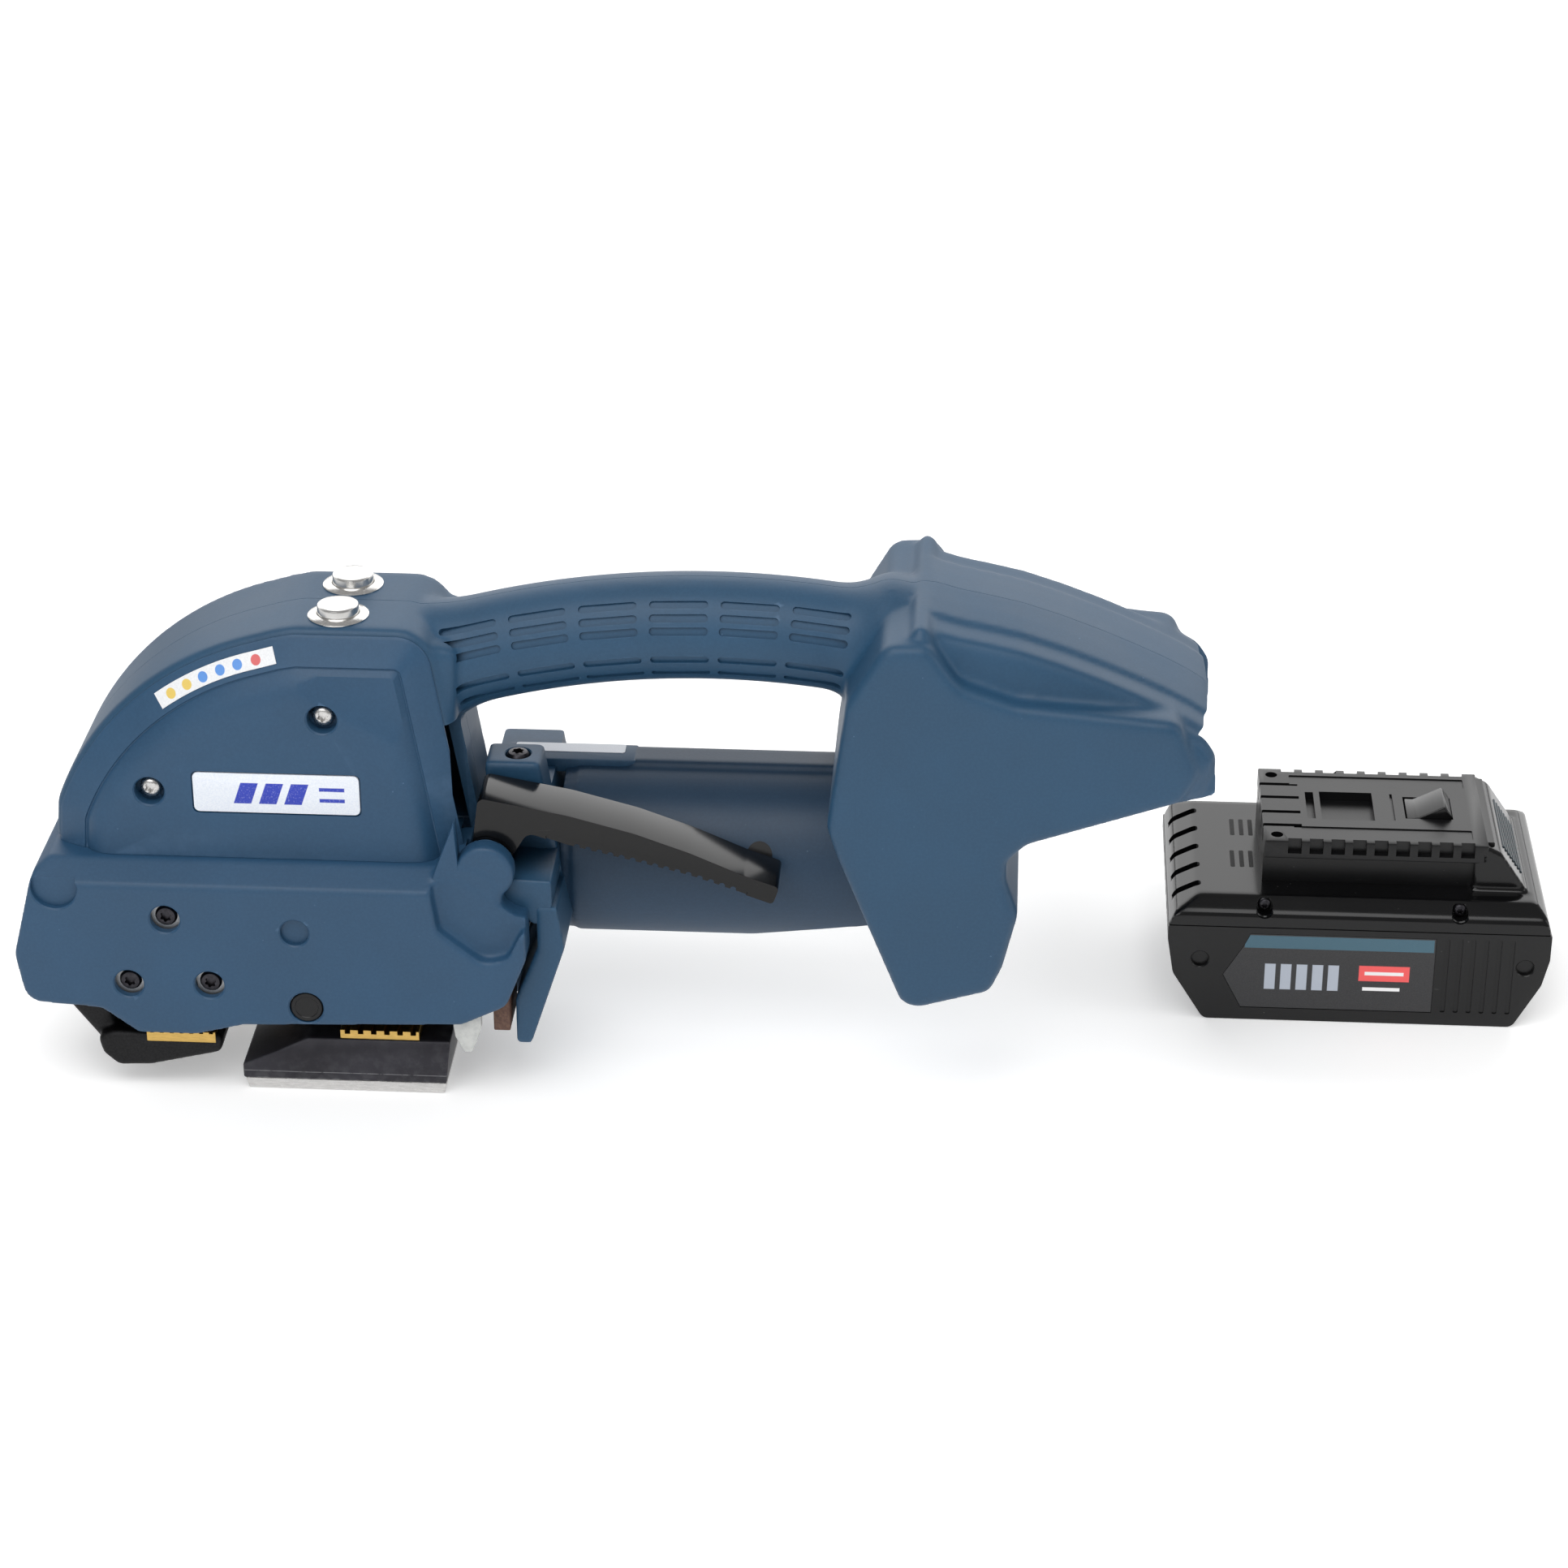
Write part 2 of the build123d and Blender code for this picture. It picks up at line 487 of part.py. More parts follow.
# --- motor barrel, gearbox cover and its fastenings --------------------------------------------------
leg_outer = side_prism(cheek_face, -CHEEK_HALF, CHEEK_HALF)
barrel = rod_x(BARREL_Y, BARREL_Z, BARREL_R, 66.5, 175)
barrel = barrel + block(82, 175, BARREL_Y - 2, BARREL_Y + 16, BARREL_Z + 18, BARREL_Z + BARREL_R + 2)
barrel = barrel - rod_x(BARREL_Y, BARREL_Z, BARREL_R - COVER_WALL, 60, 180) - leg_outer
taper = make_face(Polyline((118, 20), (118, 32.5), (170, 46), (170, 20), close=True))
barrel = barrel - side_prism(taper, -60, 60)
barrel_hole = rod_y(123.2, 69.5, 3.9, -30, 10)
barrel = barrel.solids().sort_by(SortBy.VOLUME)[-1] - barrel_hole
keep("motor_barrel", barrel)
keep("barrel_plug", rod_y(123.2, 69.5, 3.9, -9.5, -5.8) & rod_x(BARREL_Y, BARREL_Z, BARREL_R, 60, 180))

gearbox_high = rounded([(41.2, 76.2), (41.2, 99), (57.5, 99), (60.5, 80), (66.3, 48), (56.2, 20),
                        (46, 20), (45, 40)], 1.2)
gearbox = side_prism(gearbox_high, -9.5, 40)
gearbox_low = rounded([(58.0, 62), (64.2, 62), (66.3, 48), (55.5, 15), (51, 15), (51, 30), (58, 48)], 0.8)
gearbox = gearbox + side_prism(gearbox_low, -31, 0)
room = rounded([(38, 96), (55, 96), (58, 80), (63.5, 48), (55, 24), (38, 24)], 1.0)
gearbox = gearbox - side_prism(room, 0, 37.5)
gearbox = gearbox - rod_x(BARREL_Y, BARREL_Z, 4.0, 30, 80)
gearbox = gearbox - side_prism(lower_face, -60, COVER_FAR + 10)
gearbox = gearbox - rod_z(50.5, -2.5, 3.9, 97.2, 110) - rod_z(50.5, -2.5, 1.6, 85, 110)
keep("gearbox_cover", gearbox.solids().sort_by(SortBy.VOLUME)[-1])
keep("barrel_screw", Pos(50.5, -2.5, 97.2) * torx_screw(3.6, 2.6, 1.6, 8.0, 1.9))

# --- release lever, its pin and its spring -----------------------------------------------------------
lever_outline = rounded([(41.6, 97.0), (68, 92.0), (87.5, 86.7), (104, 80.7), (120, 73.7),
                         (130.5, 70.0), (128.5, 64.4), (118, 68.2), (104, 73.0), (87, 77.4), (68, 82),
                         (56, 86), (50, 76), (38.6, 74)],
                        [2, 6, 6, 6, 4, 1.5, 1.2, 5, 5, 5, 3, 3, 3, 1.5])
lever = side_prism(lever_outline, LEVER_NEAR, LEVER_FAR)
lever = lever + rod_y(LEVER_X, LEVER_Z, LEVER_HUB_R, LEVER_NEAR, LEVER_FAR)
for step in range(14):
    tooth_x = 71 + step * 3.6
    drop = (tooth_x - 68) * 0.262 + (tooth_x - 68) ** 2 * 0.0005
    lever = lever - rod_y(tooth_x, 81.6 - drop, 0.9, LEVER_NEAR - 1, LEVER_FAR + 1)
lever = lever - rod_y(LEVER_X, LEVER_Z, LEVER_PIN_R + RUN_GAP, -60, 60)
keep("lever", lever)

LUG_R = 6.6
lug_near = rod_y(LEVER_X, LEVER_Z, LUG_R, LEVER_NEAR - 5.2, LEVER_NEAR - 0.4)
lug_far = rod_y(LEVER_X, LEVER_Z, LUG_R, LEVER_FAR + 0.4, LEVER_FAR + 2.4)
stems = block(LEVER_X - LUG_R, 48, LEVER_NEAR - 5.2, LEVER_NEAR - 0.4, 63, LEVER_Z)
stems = stems + block(LEVER_X - LUG_R, 48, LEVER_FAR + 0.4, LEVER_FAR + 2.4, 63, LEVER_Z)
lever_base = block(LEVER_X - LUG_R, 48, LEVER_NEAR - 5.2, 4, 62, 67)
lever_bracket = lug_near + lug_far + stems + lever_base - rod_y(LEVER_X, LEVER_Z, LEVER_PIN_R, -60, 60)
keep("lever_bracket", lever_bracket)
keep("lever_pin", rod_y(LEVER_X, LEVER_Z, LEVER_PIN_R, LEVER_NEAR - 5.2, LEVER_FAR + 2.4))

# --- push buttons ------------------------------------------------------------------------------------
BUTTONS = {"near": (0.0, -BUTTON_Y), "far": (1.0, BUTTON_Y)}


def bezel(x, y):
    flange = Pos(x, y, HEAD_TOP + 0.6) * Cone(BEZEL_R, BEZEL_R - 1.2, 1.2)
    sleeve = rod_z(x, y, BUTTON_SLEEVE_R, 134, HEAD_TOP + 0.2)
    return flange + sleeve - rod_z(x, y, BUTTON_R + RUN_GAP, 130, 160)


def switch_body(x, y):
    return rod_z(x, y, BUTTON_SLEEVE_R, 112, 134)


keep("button_bezels", Compound(children=[bezel(*at) for at in BUTTONS.values()]))
keep("switch_bodies", Compound(children=[switch_body(*at) for at in BUTTONS.values()]))
for label, (bx, by) in BUTTONS.items():
    cap = rod_z(bx, by, BUTTON_R, 137, HEAD_TOP + 3.8)
    cap = chamfer(cap.edges().sort_by(Axis.Z)[-1], 0.5)
    keep("button_cap_" + label, cap)

# --- control board, battery receptacle and terminals -------------------------------------------------
board_frame = BAY_TURN * Pos(16, 0, 27)
keep("control_board", board_frame * Box(50, 52, 1.6))


def receptacle_body():
    tray = block(0, 44, -BAY_HALF - 3, BAY_HALF + 3, 3.2, 18.5) - block(3, 80, -BAY_HALF, BAY_HALF, -20, 16)
    far_lip = block(3, 44, BAY_HALF - 2.2, BAY_HALF, 3.2, 6.2)
    lips = far_lip + block(3, 44, -BAY_HALF, -BAY_HALF + 2.2, 3.2, 6.2)
    return BAY_TURN * (tray + lips)


keep("battery_receptacle", receptacle_body())
blades = [BAY_TURN * block(3, 13, blade_y - 0.5, blade_y + 0.5, 7, 13.5) for blade_y in BLADE_YS]
keep("receptacle_blades", Compound(children=blades))

# --- battery pack ------------------------------------------------------------------------------------
PACK_NEAR = PACK_Y - PACK_HALF
PACK_FAR = PACK_Y + PACK_HALF
pack_low_face = rounded([(PACK_X0 + 12, 0), (PACK_X0 + 2, 16), (PACK_X0, 28), (PACK_X0, PACK_SPLIT),
                         (PACK_X1, PACK_SPLIT), (PACK_X1, 24), (PACK_X1 - 2, 15), (PACK_X1 - 10, 0)],
                        [3, 4, 4, 0.5, 0.5, 4, 4, 3])
lower_case = side_prism(pack_low_face, PACK_NEAR, PACK_FAR)
lower_case = lower_case - side_prism(inset(pack_low_face, PACK_WALL), PACK_NEAR + PACK_WALL,
                                     PACK_FAR - PACK_WALL)
lower_case = lower_case - block(PACK_X0 + PACK_WALL, PACK_X1 - PACK_WALL, PACK_NEAR + PACK_WALL,
                                PACK_FAR - PACK_WALL, PACK_SPLIT - 5, PACK_SPLIT + 1)
for px in (258.3, 358.6):
    lower_case = lower_case - rod_y(px, 21.0, 2.9, PACK_NEAR - 1, PACK_NEAR + 1.6)
PANEL = (264.0, 330.5, 4.5, 30.2)
panel_x0, panel_x1, panel_z0, panel_z1 = PANEL
lower_case = lower_case - block(panel_x0, panel_x1, PACK_NEAR - 1, PACK_NEAR + 0.8, panel_z0, panel_z1)
keep("battery_lower_case", lower_case)
keep("battery_label", block(panel_x0 + 0.1, panel_x1 - 0.1, PACK_NEAR + 0.2, PACK_NEAR + 0.8,
                            panel_z0 + 0.1, panel_z1 - 0.1))

pack_top_face = rounded([(PACK_X0, PACK_SPLIT), (PACK_X0 + 3, 38), (PACK_X0 + 11, PACK_DECK),
                         (RAIL_X0, PACK_DECK), (RAIL_X0, RAIL_TOP), (RAIL_X1 - 3, RAIL_TOP),
                         (RAIL_X1 + 4, RAIL_TOP - 2.5), (PACK_X1 - 4, PACK_DECK), (PACK_X1, PACK_SPLIT)],
                        [0.4, 2, 3, 0.6, 0.8, 2, 3, 3, 0.4])
upper_body = side_prism(pack_top_face, PACK_NEAR, PACK_FAR)


def pack_section():
    """The end view of the upper case: sloping shoulders and a rail block with lips."""
    half = PACK_HALF
    neck = RAIL_HALF - 3.2
    lip_z = RAIL_TOP - 6
    return make_face(Polyline((-half, PACK_SPLIT - 1), (-half, PACK_SPLIT + 0.8), (-half + 8, PACK_DECK),
                              (-neck, PACK_DECK), (-neck, lip_z), (-RAIL_HALF, lip_z), (-RAIL_HALF, RAIL_TOP),
                              (RAIL_HALF, RAIL_TOP), (RAIL_HALF, lip_z), (neck, lip_z), (neck, PACK_DECK),
                              (half - 8, PACK_DECK), (half, PACK_SPLIT + 0.8), (half, PACK_SPLIT - 1),
                              close=True))


def pack_room_section():
    half = PACK_HALF - PACK_WALL
    neck = RAIL_HALF - 5.4
    deck = PACK_DECK - PACK_WALL
    return make_face(Polyline((-half, PACK_SPLIT - 1), (-half, PACK_SPLIT + 0.5), (-half + 7, deck),
                              (-neck, deck), (-neck, RAIL_TOP - 3), (neck, RAIL_TOP - 3), (neck, deck),
                              (half - 7, deck), (half, PACK_SPLIT + 0.5), (half, PACK_SPLIT - 1), close=True))


upper_case = upper_body & end_prism(Pos(PACK_Y, 0) * pack_section(), PACK_X0 - 1, PACK_X1 + 1)
room = side_prism(inset(pack_top_face, PACK_WALL), PACK_NEAR, PACK_FAR)
room = room + block(PACK_X0 + 4, PACK_X1 - 4, PACK_NEAR, PACK_FAR, PACK_SPLIT - 1, PACK_SPLIT + 3)
room = room & end_prism(Pos(PACK_Y, 0) * pack_room_section(), PACK_X0 + 2, PACK_X1 - 2)
upper_case = upper_case - room

CELL_R = 9.0
CELL_PITCH = 18.4
CELL_LENGTH = 64.0
cells = []
for row in range(2):
    for column in range(5):
        cell_x = 268.5 + (column + row / 2) * CELL_PITCH
        cell_z = 11.6 + row * 15.95
        cells.append(rod_y(cell_x, cell_z, CELL_R, PACK_Y - CELL_LENGTH / 2, PACK_Y + CELL_LENGTH / 2))
keep("battery_cells", Compound(children=cells))
SCREW_XS = (277.5, 337.5)
SCREW_Z = 38.7
for px in SCREW_XS:
    boss = rod_y(px, SCREW_Z, 3.4, PACK_NEAR + 4, PACK_NEAR + 9.5)
    boss = boss & upper_body & end_prism(Pos(PACK_Y, 0) * pack_section(), PACK_X0, PACK_X1)
    upper_case = upper_case + boss
upper_case = upper_case - [rod_y(cell_x, 27.55, CELL_R, PACK_NEAR, PACK_FAR)
                           for cell_x in [268.5 + (column + 0.5) * CELL_PITCH for column in range(5)]]
for side in (-1, 1):
    for step in range(9):
        nx = RAIL_X0 + 7.3 + step * NOTCH_PITCH
        notch_y = PACK_Y + side * RAIL_HALF
        upper_case = upper_case - block(nx, nx + NOTCH_LONG, notch_y - 2.2, notch_y + 2.2,
                                        RAIL_TOP - 4.2, RAIL_TOP + 1)
LATCH_X0 = 322.0
LATCH_X1 = 336.0
upper_case = upper_case - block(LATCH_X0 - 0.4, LATCH_X1 + 0.4, PACK_Y - 7.4, PACK_Y + 7.4, 50, 70)
for px, py in ((281.0, -20.5), (281.0, 20.5)):
    upper_case = upper_case - rod_z(px, PACK_Y + py, 1.9, RAIL_TOP - 2.5, RAIL_TOP + 1)
for slot_y in (-14, -5, 5, 14):
    upper_case = upper_case - block(RAIL_X0 - 1, RAIL_X0 + 12, PACK_Y + slot_y - 0.9, PACK_Y + slot_y + 0.9,
                                    RAIL_TOP - 6, RAIL_TOP + 1)
for px in SCREW_XS:
    upper_case = upper_case - rod_y(px, SCREW_Z, 2.2, PACK_NEAR - 1, PACK_NEAR + 6.9)
    upper_case = upper_case - rod_y(px, SCREW_Z, 1.2, PACK_NEAR, PACK_NEAR + 8.6)
keep("battery_upper_case", upper_case.solids().sort_by(SortBy.VOLUME)[-1])
pack_screw = torx_screw(2.0, 1.4, 1.2, 1.6, 1.1)
keep("battery_screws", Compound(children=[
    facing_near(px, PACK_NEAR + 6.9, SCREW_Z, pack_screw) for px in SCREW_XS]))

wedge = make_face(Polyline((LATCH_X0, 50.5), (LATCH_X0, RAIL_TOP - 0.2), (LATCH_X0 + 3, RAIL_TOP - 0.2),
                           (LATCH_X1 - 2.5, RAIL_TOP + 4.2), (LATCH_X1, RAIL_TOP + 1), (LATCH_X1, 50.5),
                           close=True))
keep("battery_latch", side_prism(wedge, PACK_Y - 7.0, PACK_Y + 7.0))

keep("battery_board", block(RAIL_X0 + 6, RAIL_X1 - 8, PACK_Y - 17, PACK_Y + 17, 44, 45.6))
clips = [block(RAIL_X0 + 6, RAIL_X0 + 14, PACK_Y + cy - 0.6, PACK_Y + cy + 0.6, 45.6, 50.0)
         for cy in (-14, -5, 5, 14)]
keep("battery_terminals", Compound(children=clips))

# --- files -------------------------------------------------------------------------------------------
os.makedirs("parts", exist_ok=True)
for name, shape in PARTS.items():
    export_step(shape, f"parts/{name}.step")
print(len(PARTS), "sub-parts written")
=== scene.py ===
import json
import math

import bmesh
import bpy
from mathutils import Matrix, Vector


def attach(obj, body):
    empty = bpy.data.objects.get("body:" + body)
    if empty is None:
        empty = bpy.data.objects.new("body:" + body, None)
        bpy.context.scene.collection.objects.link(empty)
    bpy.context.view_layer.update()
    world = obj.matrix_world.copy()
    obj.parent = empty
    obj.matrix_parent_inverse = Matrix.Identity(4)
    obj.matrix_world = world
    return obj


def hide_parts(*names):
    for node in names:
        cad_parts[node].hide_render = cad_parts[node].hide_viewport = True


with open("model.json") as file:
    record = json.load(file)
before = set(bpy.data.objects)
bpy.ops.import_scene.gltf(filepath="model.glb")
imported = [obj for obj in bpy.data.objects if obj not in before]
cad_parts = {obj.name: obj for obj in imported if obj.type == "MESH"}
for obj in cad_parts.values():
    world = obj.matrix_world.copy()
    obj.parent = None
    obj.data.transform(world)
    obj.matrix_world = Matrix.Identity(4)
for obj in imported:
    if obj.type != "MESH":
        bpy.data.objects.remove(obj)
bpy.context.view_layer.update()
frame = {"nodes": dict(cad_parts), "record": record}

MM = 0.001
NODES = frame["nodes"]
SLOT_OF = {part["node"]: part["material_slot"] for part in frame["record"]["subparts"]}


# --- camera, floor and light ---------------------------------------------------------
TURN = math.radians(3.5)
TILT = math.radians(27.0)
EYE = Vector((0.1963, -1.0824, 0.6423))
SENSOR = 36.0
LENS = 5000 / 1932 * SENSOR


def set_camera():
    view = bpy.data.cameras.new("camera")
    view.sensor_width = SENSOR
    view.lens = LENS
    view.clip_start = 0.05
    camera = bpy.data.objects.new("camera", view)
    bpy.context.scene.collection.objects.link(camera)
    look = Vector((-math.sin(TURN) * math.cos(TILT), math.cos(TURN) * math.cos(TILT), -math.sin(TILT)))
    camera.location = EYE
    camera.rotation_euler = look.to_track_quat("-Z", "Y").to_euler()
    bpy.context.scene.camera = camera


def area_light(name, place, target, size, power, colour=(1, 1, 1)):
    lamp = bpy.data.lights.new(name, "AREA")
    lamp.shape = "RECTANGLE"
    lamp.size, lamp.size_y = size
    lamp.energy = power
    lamp.color = colour
    holder = bpy.data.objects.new(name, lamp)
    bpy.context.scene.collection.objects.link(holder)
    holder.location = place
    holder.rotation_euler = (Vector(target) - Vector(place)).to_track_quat("-Z", "Y").to_euler()


def set_light():
    world = bpy.data.worlds.new("studio")
    bpy.context.scene.world = world
    world.use_nodes = True
    world.node_tree.nodes["Background"].inputs["Color"].default_value = (1, 1, 1, 1)
    world.node_tree.nodes["Background"].inputs["Strength"].default_value = 0.34
    area_light("rear_panel", (0.15, 1.7, 0.95), (0.14, 0.0, 0.06), (3.0, 1.6), 26.0)
    area_light("key_softbox", (-0.05, -0.55, 1.2), (0.12, 0.0, 0.04), (1.3, 0.8), 10.5)
    area_light("front_softbox", (-0.35, -1.35, 0.75), (0.14, 0.0, 0.06), (0.9, 0.6), 4.2)
    area_light("side_softbox", (1.2, -0.2, 0.6), (0.2, 0.0, 0.06), (0.5, 0.7), 2.0)
    bpy.context.scene.view_settings.view_transform = "Standard"


# --- modelling helpers ------------------------------------------------------------------
def deselect():
    if bpy.context.object and bpy.context.object.mode != "OBJECT":
        bpy.ops.object.mode_set(mode="OBJECT")
    bpy.ops.object.select_all(action="DESELECT")


def only(obj):
    deselect()
    obj.select_set(True)
    bpy.context.view_layer.objects.active = obj
    return obj


def arc(a, b, c, steps=10):
    """Points along the circle from a through b to c, both ends included."""
    ax, ay = a
    bx, by = b
    cx, cy = c
    d = 2 * (ax * (by - cy) + bx * (cy - ay) + cx * (ay - by))
    ux = ((ax * ax + ay * ay) * (by - cy) + (bx * bx + by * by) * (cy - ay) + (cx * cx + cy * cy) * (ay - by)) / d
    uy = ((ax * ax + ay * ay) * (cx - bx) + (bx * bx + by * by) * (ax - cx) + (cx * cx + cy * cy) * (bx - ax)) / d
    start = math.atan2(ay - uy, ax - ux)
    middle = (math.atan2(by - uy, bx - ux) - start) % (2 * math.pi)
    end = (math.atan2(cy - uy, cx - ux) - start) % (2 * math.pi)
    if middle > end:
        end -= 2 * math.pi
    radius = math.hypot(ax - ux, ay - uy)
    return [(ux + radius * math.cos(start + end * i / steps), uy + radius * math.sin(start + end * i / steps))
            for i in range(steps + 1)]


def rounded(points, radii, steps=6):
    """A closed outline with rounded corners."""
    count = len(points)
    radii = [radii] * count if isinstance(radii, (int, float)) else radii
    loop = []
    for i, corner in enumerate(points):
        here = Vector(corner)
        back = Vector(points[i - 1]) - here
        ahead = Vector(points[(i + 1) % count]) - here
        half = back.angle(ahead) / 2
        reach = min(radii[i] / math.tan(half), 0.48 * back.length, 0.48 * ahead.length)
        radius = reach * math.tan(half)
        if radius < 0.05:
            loop.append(tuple(corner))
            continue
        centre = here + (back.normalized() + ahead.normalized()).normalized() * (radius / math.sin(half))
        start = here + back.normalized() * reach - centre
        end = here + ahead.normalized() * reach - centre
        turn = math.atan2(start.x * end.y - start.y * end.x, start.dot(end))
        for step in range(steps + 1):
            a = turn * step / steps
            loop.append((centre.x + start.x * math.cos(a) - start.y * math.sin(a),
                         centre.y + start.x * math.sin(a) + start.y * math.cos(a)))
    return loop


def distance_to(loop, spot):
    """Shortest distance from a point to a closed outline."""
    best = 1e9
    for i in range(len(loop)):
        a, b = Vector(loop[i - 1]), Vector(loop[i])
        span = b - a
        share = 0.0 if span.length_squared == 0 else max(0.0, min(1.0,
                                                                  (spot - a).dot(span) / span.length_squared))
        best = min(best, (a + span * share - spot).length)
    return best


def shrink(loop, amount):
    """The same outline moved inwards; corners that would cross themselves are dropped."""
    count = len(loop)
    area = sum(loop[i - 1][0] * loop[i][1] - loop[i][0] * loop[i - 1][1] for i in range(count))
    side = 1 if area > 0 else -1
    moved = []
    for i in range(count):
        a, b, c = Vector(loop[i - 1]), Vector(loop[i]), Vector(loop[(i + 1) % count])
        first = (b - a).normalized()
        second = (c - b).normalized()
        n1 = Vector((-first.y, first.x)) * side
        n2 = Vector((-second.y, second.x)) * side
        mitre = (n1 + n2).normalized()
        spot = b + mitre * (amount / max(0.35, mitre.dot(n1)))
        if distance_to(loop, spot) > abs(amount) * 0.995:
            moved.append(tuple(spot))
    return uncross(moved)


def meeting(a, b, c, d):
    """Where segment ab crosses segment cd, if it does."""
    a, b, c, d = Vector(a), Vector(b), Vector(c), Vector(d)
    first, second = b - a, d - c
    scale = first.x * second.y - first.y * second.x
    if abs(scale) < 1e-9:
        return None
    gap = c - a
    t = (gap.x * second.y - gap.y * second.x) / scale
    u = (gap.x * first.y - gap.y * first.x) / scale
    return tuple(a + first * t) if 0 < t < 1 and 0 < u < 1 else None


def uncross(loop):
    """Cut off the small knots left at tight corners."""
    for skip in (2, 3, 4):
        i = 0
        while i < len(loop):
            count = len(loop)
            spot = meeting(loop[i], loop[(i + 1) % count], loop[(i + skip) % count],
                           loop[(i + skip + 1) % count])
            if spot and count > skip + 3:
                drop = [(i + 1 + k) % count for k in range(skip)]
                loop = [spot if j == drop[0] else loop[j] for j in range(count) if j not in drop[1:]]
            else:
                i += 1
    return loop


def place(axis, level, a, b):
    """A point of an outline: XZ for axis Y, YZ for axis X, XY for axis Z."""
    if axis == "Y":
        return Vector((a, level, b)) * MM
    if axis == "X":
        return Vector((level, a, b)) * MM
    return Vector((a, b, level)) * MM


def edit(obj, kind="FACE"):
    only(obj)
    bpy.ops.object.mode_set(mode="EDIT")
    bpy.ops.mesh.select_mode(type=kind)


def leave():
    bpy.ops.object.mode_set(mode="OBJECT")


def slab(name, loop, axis, low, high):
    """A flat outline carried straight from one level to another."""
    deselect()
    bpy.ops.mesh.primitive_circle_add(vertices=len(loop), radius=1, fill_type="NGON")
    obj = bpy.context.object
    obj.name = name
    for vertex, (a, b) in zip(obj.data.vertices, loop):
        vertex.co = place(axis, low, a, b)
    way = {"X": Vector((1, 0, 0)), "Y": Vector((0, 1, 0)), "Z": Vector((0, 0, 1))}[axis]
    edit(obj)
    bpy.ops.mesh.select_all(action="SELECT")
    bpy.ops.mesh.extrude_region_move(TRANSFORM_OT_translate={"value": way * (high - low) * MM})
    bpy.ops.mesh.select_all(action="SELECT")
    bpy.ops.mesh.normals_make_consistent(inside=False)
    leave()
    return obj


def block(x0, x1, y0, y1, z0, z1):
    return slab("block", [(x0, z0), (x1, z0), (x1, z1), (x0, z1)], "Y", y0, y1)


def rod(axis, a, b, radius, low, high, sides=48):
    loop = [(a + radius * math.cos(2 * math.pi * i / sides), b + radius * math.sin(2 * math.pi * i / sides))
            for i in range(sides)]
    return slab("rod", loop, axis, low, high)


def pick_edges(obj, test):
    """In edit mode, select the edges whose two ends (mm) and length pass the test."""
    mesh = bmesh.from_edit_mesh(obj.data)
    for edge in mesh.edges:
        edge.select_set(False)
    for edge in mesh.edges:
        if test(edge.verts[0].co / MM, edge.verts[1].co / MM, edge):
            edge.select_set(True)
    bmesh.update_edit_mesh(obj.data)


def soften(obj, width, test=lambda a, b, edge: True, segments=3, sharper=25):
    """Round the sharp edges that pass the test."""
    limit = math.radians(sharper)
    edit(obj, "EDGE")
    pick_edges(obj, lambda a, b, edge: len(edge.link_faces) == 2 and edge.calc_face_angle(0) > limit
               and test(a, b, edge))
    bpy.ops.mesh.bevel(offset=width * MM, offset_type="OFFSET", segments=segments, profile=0.5,
                       clamp_overlap=True)
    leave()
    return obj


def modify(obj, kind, **settings):
    only(obj)
    modifier = obj.modifiers.new(kind.lower(), kind)
    for key, value in settings.items():
        setattr(modifier, key, value)
    bpy.ops.object.modifier_apply(modifier=modifier.name)
    return obj


def join(*objects):
    deselect()
    for obj in objects:
        obj.select_set(True)
    bpy.context.view_layer.objects.active = objects[0]
    if len(objects) > 1:
        bpy.ops.object.join()
    return bpy.context.object


def duplicate(obj, move=None):
    twin = obj.copy()
    twin.data = obj.data.copy()
    bpy.context.scene.collection.objects.link(twin)
    if move is not None:
        twin.data.transform(move)
    return twin


def cut(obj, *cutters, operation="DIFFERENCE"):
    for cutter in cutters:
        modify(obj, "BOOLEAN", operation=operation, solver="MANIFOLD", object=cutter)
        bpy.data.objects.remove(cutter)
    return obj


def mould(name, parts, voxel, passes=5, factor=0.5):
    """Blend overlapping solids into one moulded skin with soft corners."""
    body = join(*parts)
    body.name = name
    modify(body, "REMESH", mode="VOXEL", voxel_size=voxel * MM)
    modify(body, "SMOOTH", factor=factor, iterations=passes)
    return body


def reflect_y(obj):
    """Move a piece to the mirrored place on the other side of the seam."""
    obj.data.transform(Matrix.Scale(-1, 4, Vector((0, 1, 0))))
    edit(obj)
    bpy.ops.mesh.select_all(action="SELECT")
    bpy.ops.mesh.normals_make_consistent(inside=False)
    leave()
    return obj


def flip_y(obj):
    """A mirrored copy on the other side of the seam."""
    return reflect_y(duplicate(obj))


